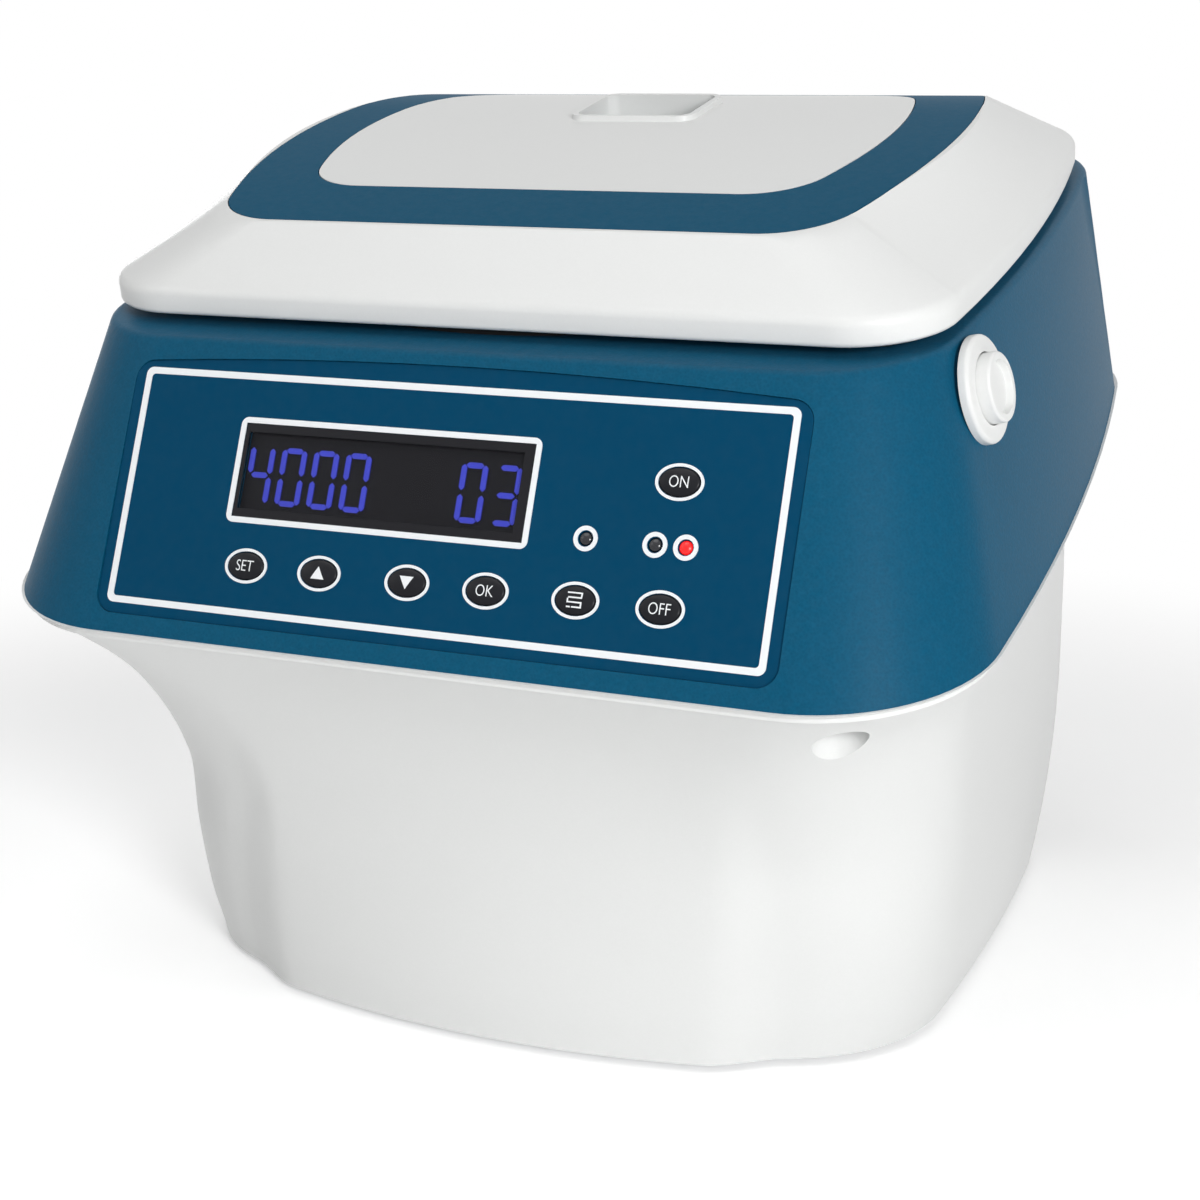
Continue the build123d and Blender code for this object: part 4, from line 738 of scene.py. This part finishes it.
class CENTRIFUGE_OT_screws(Operator):
    """Make the hex socket screws of the base and of the lid liner"""
    bl_idname = "centrifuge.screws"
    bl_label = "Screws"

    def head_tree(self):
        """Geometry nodes: one socket screw on each point."""
        tree = bpy.data.node_groups.new("Socket screws", "GeometryNodeTree")
        put = tree.interface.new_socket
        put(name="Geometry", in_out="INPUT", socket_type="NodeSocketGeometry")
        for title, kind, value in (
                ("Head radius", "NodeSocketFloat", 0.004), ("Head height", "NodeSocketFloat", 0.002),
                ("Socket radius", "NodeSocketFloat", 0.002), ("Shank radius", "NodeSocketFloat", 0.0018),
                ("Shank length", "NodeSocketFloat", 0.009), ("Sides", "NodeSocketInt", 40),
                ("Tilt", "NodeSocketFloat", 0.0)):
            put(name=title, in_out="INPUT", socket_type=kind).default_value = value
        put(name="Material", in_out="INPUT", socket_type="NodeSocketMaterial")
        put(name="Geometry", in_out="OUTPUT", socket_type="NodeSocketGeometry")
        link = tree.links.new
        given = tree.nodes.new("NodeGroupInput")
        head = add(tree, "GeometryNodeMeshCylinder")
        socket = add(tree, "GeometryNodeMeshCylinder", Vertices=6)
        shank = add(tree, "GeometryNodeMeshCylinder", Vertices=20)
        link(given.outputs["Sides"], head.inputs["Vertices"])
        link(given.outputs["Head radius"], head.inputs["Radius"])
        link(given.outputs["Head height"], head.inputs["Depth"])
        link(given.outputs["Socket radius"], socket.inputs["Radius"])
        link(given.outputs["Head height"], socket.inputs["Depth"])
        link(given.outputs["Shank radius"], shank.inputs["Radius"])
        link(given.outputs["Shank length"], shank.inputs["Depth"])
        cut = add(tree, "GeometryNodeMeshBoolean", operation="DIFFERENCE")
        down = add(tree, "GeometryNodeTransform")
        shift = add(tree, "ShaderNodeCombineXYZ")
        link(maths(tree, "MULTIPLY", given.outputs["Head height"], SOCKET_SINK), shift.inputs["Z"])
        link(shift.outputs[0], down.inputs["Translation"])
        link(socket.outputs["Mesh"], down.inputs["Geometry"])
        link(head.outputs["Mesh"], cut.inputs["Mesh 1"])
        link(down.outputs["Geometry"], cut.inputs["Mesh 2"])
        lift = add(tree, "GeometryNodeTransform")
        rise = add(tree, "ShaderNodeCombineXYZ")
        total = maths(tree, "ADD", given.outputs["Head height"], given.outputs["Shank length"])
        link(maths(tree, "MULTIPLY", total, SHANK_RISE), rise.inputs["Z"])
        link(rise.outputs[0], lift.inputs["Translation"])
        link(shank.outputs["Mesh"], lift.inputs["Geometry"])
        both = add(tree, "GeometryNodeJoinGeometry")
        link(cut.outputs["Mesh"], both.inputs[0])
        link(lift.outputs["Geometry"], both.inputs[0])
        spread = add(tree, "GeometryNodeInstanceOnPoints")
        turn = add(tree, "ShaderNodeCombineXYZ")
        link(given.outputs["Tilt"], turn.inputs["X"])
        link(given.outputs["Geometry"], spread.inputs["Points"])
        link(both.outputs[0], spread.inputs["Instance"])
        link(turn.outputs[0], spread.inputs["Rotation"])
        whole = add(tree, "GeometryNodeRealizeInstances")
        dress = add(tree, "GeometryNodeSetMaterial")
        out = tree.nodes.new("NodeGroupOutput")
        link(spread.outputs["Instances"], whole.inputs[0])
        link(whole.outputs[0], dress.inputs["Geometry"])
        link(given.outputs["Material"], dress.inputs["Material"])
        link(dress.outputs[0], out.inputs[0])
        return tree

    def execute(self, context):
        sizes = context.scene.centrifuge.screw
        steel = metal("Ground_steel", context.scene.centrifuge.metal.steel, stretch=(300, 300, 300))
        tree = self.head_tree()
        sockets = {s.name: s.identifier for s in tree.interface.items_tree if s.in_out == "INPUT"}
        for node, body, head_h, shank_l, tilt in SCREWS:
            normal = Vector((0, -math.sin(tilt), math.cos(tilt)))
            axes = (Vector((1, 0, 0)), normal.cross(Vector((1, 0, 0))), normal)
            spots = [middle_and_reach(lump, axes) for lump in islands(node)]
            points = bpy.data.meshes.new(node + "_points")
            points.from_pydata([s + normal * (head_h / 2 - halves[2]) for s, halves in spots], [], [])
            holder = bpy.data.objects.new(node + "_points", points)
            context.scene.collection.objects.link(holder)
            modifier = holder.modifiers.new("Socket screws", "NODES")
            modifier.node_group = tree
            for title, value in (("Head radius", sizes.head_r), ("Head height", head_h),
                                 ("Socket radius", sizes.socket_r), ("Shank radius", sizes.shank_r),
                                 ("Shank length", shank_l), ("Sides", sizes.sides), ("Tilt", tilt),
                                 ("Material", steel)):
                modifier[sockets[title]] = value
            context.view_layer.update()
            mesh = bpy.data.meshes.new_from_object(holder.evaluated_get(context.evaluated_depsgraph_get()))
            bpy.data.objects.remove(holder)
            mesh.name = node + "_heads"
            piece(node + "_heads", mesh, None, body, "bright_steel", node)
        return {"FINISHED"}


class CENTRIFUGE_OT_chamber(Operator):
    """Finish the chamber, the rotor and the lock"""
    bl_idname = "centrifuge.chamber"
    bl_label = "Chamber and rotor"

    def execute(self, context):
        tones = context.scene.centrifuge.metal
        paint(metal("Spun_stainless", tones.stainless, stretch=(900, 900, 900), turned=1.0), "chamber_bowl")
        alloy = metal("Blasted_alloy", tones.alloy, stretch=(700, 700, 700), depth=0.02, roughness=0.12)
        paint(alloy, "rotor_yoke", "carrier_right", "carrier_left")
        paint(bpy.data.materials["Ground_steel"], "drive_shaft", "trunnions", "lock_pin", "hinge_pins")
        paint(metal("Zinc_plate", tones.zinc, stretch=(120, 260, 260), roughness=0.1, drift=0.12),
              "base_plate", "lock_bracket", "latch_hook", "lid_striker", "motor_plate", "motor_posts")
        rubber = moulded("Rubber", tones.rubber, grain=1300, depth=0.03, roughness=0.62, drift=0.1)
        paint(rubber, "feet", "motor_dampers", "chamber_seal", "shaft_boot", "wiring")
        return {"FINISHED"}


class CENTRIFUGE_OT_service(Operator):
    """Finish the motor, the electronics, the fan and the mains fittings"""
    bl_idname = "centrifuge.service"
    bl_label = "Drive and electrics"

    def execute(self, context):
        tones = context.scene.centrifuge
        black = moulded("Black_plastic", tones.casing.black, grain=1400, depth=0.02, roughness=0.45,
                        drift=0.08)
        paint(black, "rotor_knob", "mains_inlet", "fuse_drawer", "switch_housing", "switch_rocker",
              "fan_frame", "fan_rotor")
        paint(moulded("Motor_enamel", tones.metal.enamel, grain=500, depth=0.04, roughness=0.4), "motor")
        paint(metal("Sheet_alloy", tones.metal.alloy, stretch=(40, 800, 800)), "power_supply")
        paint(metal("Contact_brass", tones.metal.brass, stretch=(300, 300, 300)), "inlet_pins")
        paint(bpy.data.materials["Solder_mask"], "main_board")
        return {"FINISHED"}


class CENTRIFUGE_OT_studio(Operator):
    """Set up the floor, the lamps, the room light and the camera"""
    bl_idname = "centrifuge.studio"
    bl_label = "Studio"

    def lamp(self, scene, name, place, target, size, power):
        light = bpy.data.lights.new(name, "AREA")
        light.shape = "DISK"
        light.size = size
        light.energy = power
        holder = bpy.data.objects.new(name, light)
        holder.location = place
        holder.rotation_euler = (Vector(target) - Vector(place)).to_track_quat("-Z", "Y").to_euler()
        scene.collection.objects.link(holder)

    def execute(self, context):
        scene = context.scene
        studio = scene.centrifuge.studio
        camera = bpy.data.objects.new("Camera", bpy.data.cameras.new("Camera"))
        scene.collection.objects.link(camera)
        camera.data.lens = 60
        camera.data.sensor_width = 36
        camera.data.clip_start = 0.05
        camera.location = CAMERA_PLACE
        camera.rotation_euler = Vector(CAMERA_LOOK).to_track_quat("-Z", "Y").to_euler()
        scene.camera = camera

        floor = bpy.data.meshes.new("studio_floor")
        corners = [(x * FLOOR_HALF, y * FLOOR_HALF, 0) for x, y in ((-1, -1), (1, -1), (1, 1), (-1, 1))]
        floor.from_pydata(corners, [], [(0, 1, 2, 3)])
        ground = bpy.data.objects.new("studio_floor", floor)
        scene.collection.objects.link(ground)
        material, tree, shader = surface("Studio_floor")
        shader.inputs["Base Color"].default_value = (*studio.floor, 1)
        shader.inputs["Roughness"].default_value = 0.8
        shader.inputs["Specular IOR Level"].default_value = 0.1
        place = add(tree, "ShaderNodeTexCoord")
        reach = add(tree, "ShaderNodeVectorMath", operation="LENGTH")
        tree.links.new(place.outputs["Object"], reach.inputs[0])
        blend = add(tree, "ShaderNodeMapRange", interpolation_type="SMOOTHSTEP")
        blend.inputs["From Min"].default_value = studio.fade
        blend.inputs["From Max"].default_value = studio.fade * FADE_LENGTH
        tree.links.new(reach.outputs["Value"], blend.inputs["Value"])
        seen = seen_directly(tree)
        plain = add(tree, "ShaderNodeEmission", Color=(1, 1, 1, 1), Strength=1.0)
        lift = add(tree, "ShaderNodeEmission", Color=(1, 1, 1, 1))
        tree.links.new(maths(tree, "MULTIPLY", seen, studio.lift), lift.inputs["Strength"])
        lit = add(tree, "ShaderNodeAddShader")
        tree.links.new(shader.outputs[0], lit.inputs[0])
        tree.links.new(lift.outputs[0], lit.inputs[1])
        both = add(tree, "ShaderNodeMixShader")
        tree.links.new(maths(tree, "MULTIPLY", blend.outputs["Result"], seen), both.inputs[0])
        tree.links.new(lit.outputs[0], both.inputs[1])
        tree.links.new(plain.outputs[0], both.inputs[2])
        tree.links.new(both.outputs[0], tree.nodes["Material Output"].inputs["Surface"])
        floor.materials.append(material)

        world = bpy.data.worlds.new("Studio")
        scene.world = world
        world.use_nodes = True
        tree = world.node_tree
        back = tree.nodes["Background"]
        back.inputs["Color"].default_value = (1, 1, 1, 1)
        extra = maths(tree, "MULTIPLY", seen_directly(tree), 1 - studio.world)
        tree.links.new(maths(tree, "ADD", extra, studio.world), back.inputs["Strength"])

        for setting, place, target, size in LAMPS:
            self.lamp(scene, setting.title() + "_lamp", place, target, size, getattr(studio, setting))
        scene.view_settings.view_transform = "Standard"
        return {"FINISHED"}


class CENTRIFUGE_PT_sidebar(Panel):
    """Steps that build the centrifuge, in order"""
    bl_idname = "CENTRIFUGE_PT_sidebar"
    bl_label = "Microplate centrifuge"
    bl_space_type = "VIEW_3D"
    bl_region_type = "UI"
    bl_category = "Centrifuge"

    def draw(self, context):
        settings = context.scene.centrifuge
        for operator in OPERATORS:
            self.layout.operator(operator.bl_idname)
        for part in ("casing", "panel", "metal", "legend", "screw", "studio"):
            group = getattr(settings, part)
            box = self.layout.box()
            box.label(text=part.title())
            for name in group.bl_rna.properties.keys():
                if name not in ("rna_type", "name"):
                    box.prop(group, name)


OPERATORS = (CENTRIFUGE_OT_casing, CENTRIFUGE_OT_release, CENTRIFUGE_OT_panel, CENTRIFUGE_OT_keys,
             CENTRIFUGE_OT_screws, CENTRIFUGE_OT_chamber, CENTRIFUGE_OT_service, CENTRIFUGE_OT_studio)
CLASSES = (CasingColours, PanelColours, MetalColours, LegendSizes, ScrewSizes, StudioSettings,
           CentrifugeSettings) + OPERATORS + (CENTRIFUGE_PT_sidebar,)


def register():
    for cls in CLASSES:
        bpy.utils.register_class(cls)
    bpy.types.Scene.centrifuge = PointerProperty(type=CentrifugeSettings)


def unregister():
    del bpy.types.Scene.centrifuge
    for cls in reversed(CLASSES):
        bpy.utils.unregister_class(cls)


def write_sizes():
    """Imports json and does nothing more."""
    import json


def main():
    register()
    mould_grain()
    tone_drift()
    brush_lines()
    bpy.ops.centrifuge.casing()
    bpy.ops.centrifuge.release()
    bpy.ops.centrifuge.panel()
    bpy.ops.centrifuge.keys()
    bpy.ops.centrifuge.screws()
    bpy.ops.centrifuge.chamber()
    bpy.ops.centrifuge.service()
    bpy.ops.centrifuge.studio()
    write_sizes()


if __name__ == "__main__":
    main()
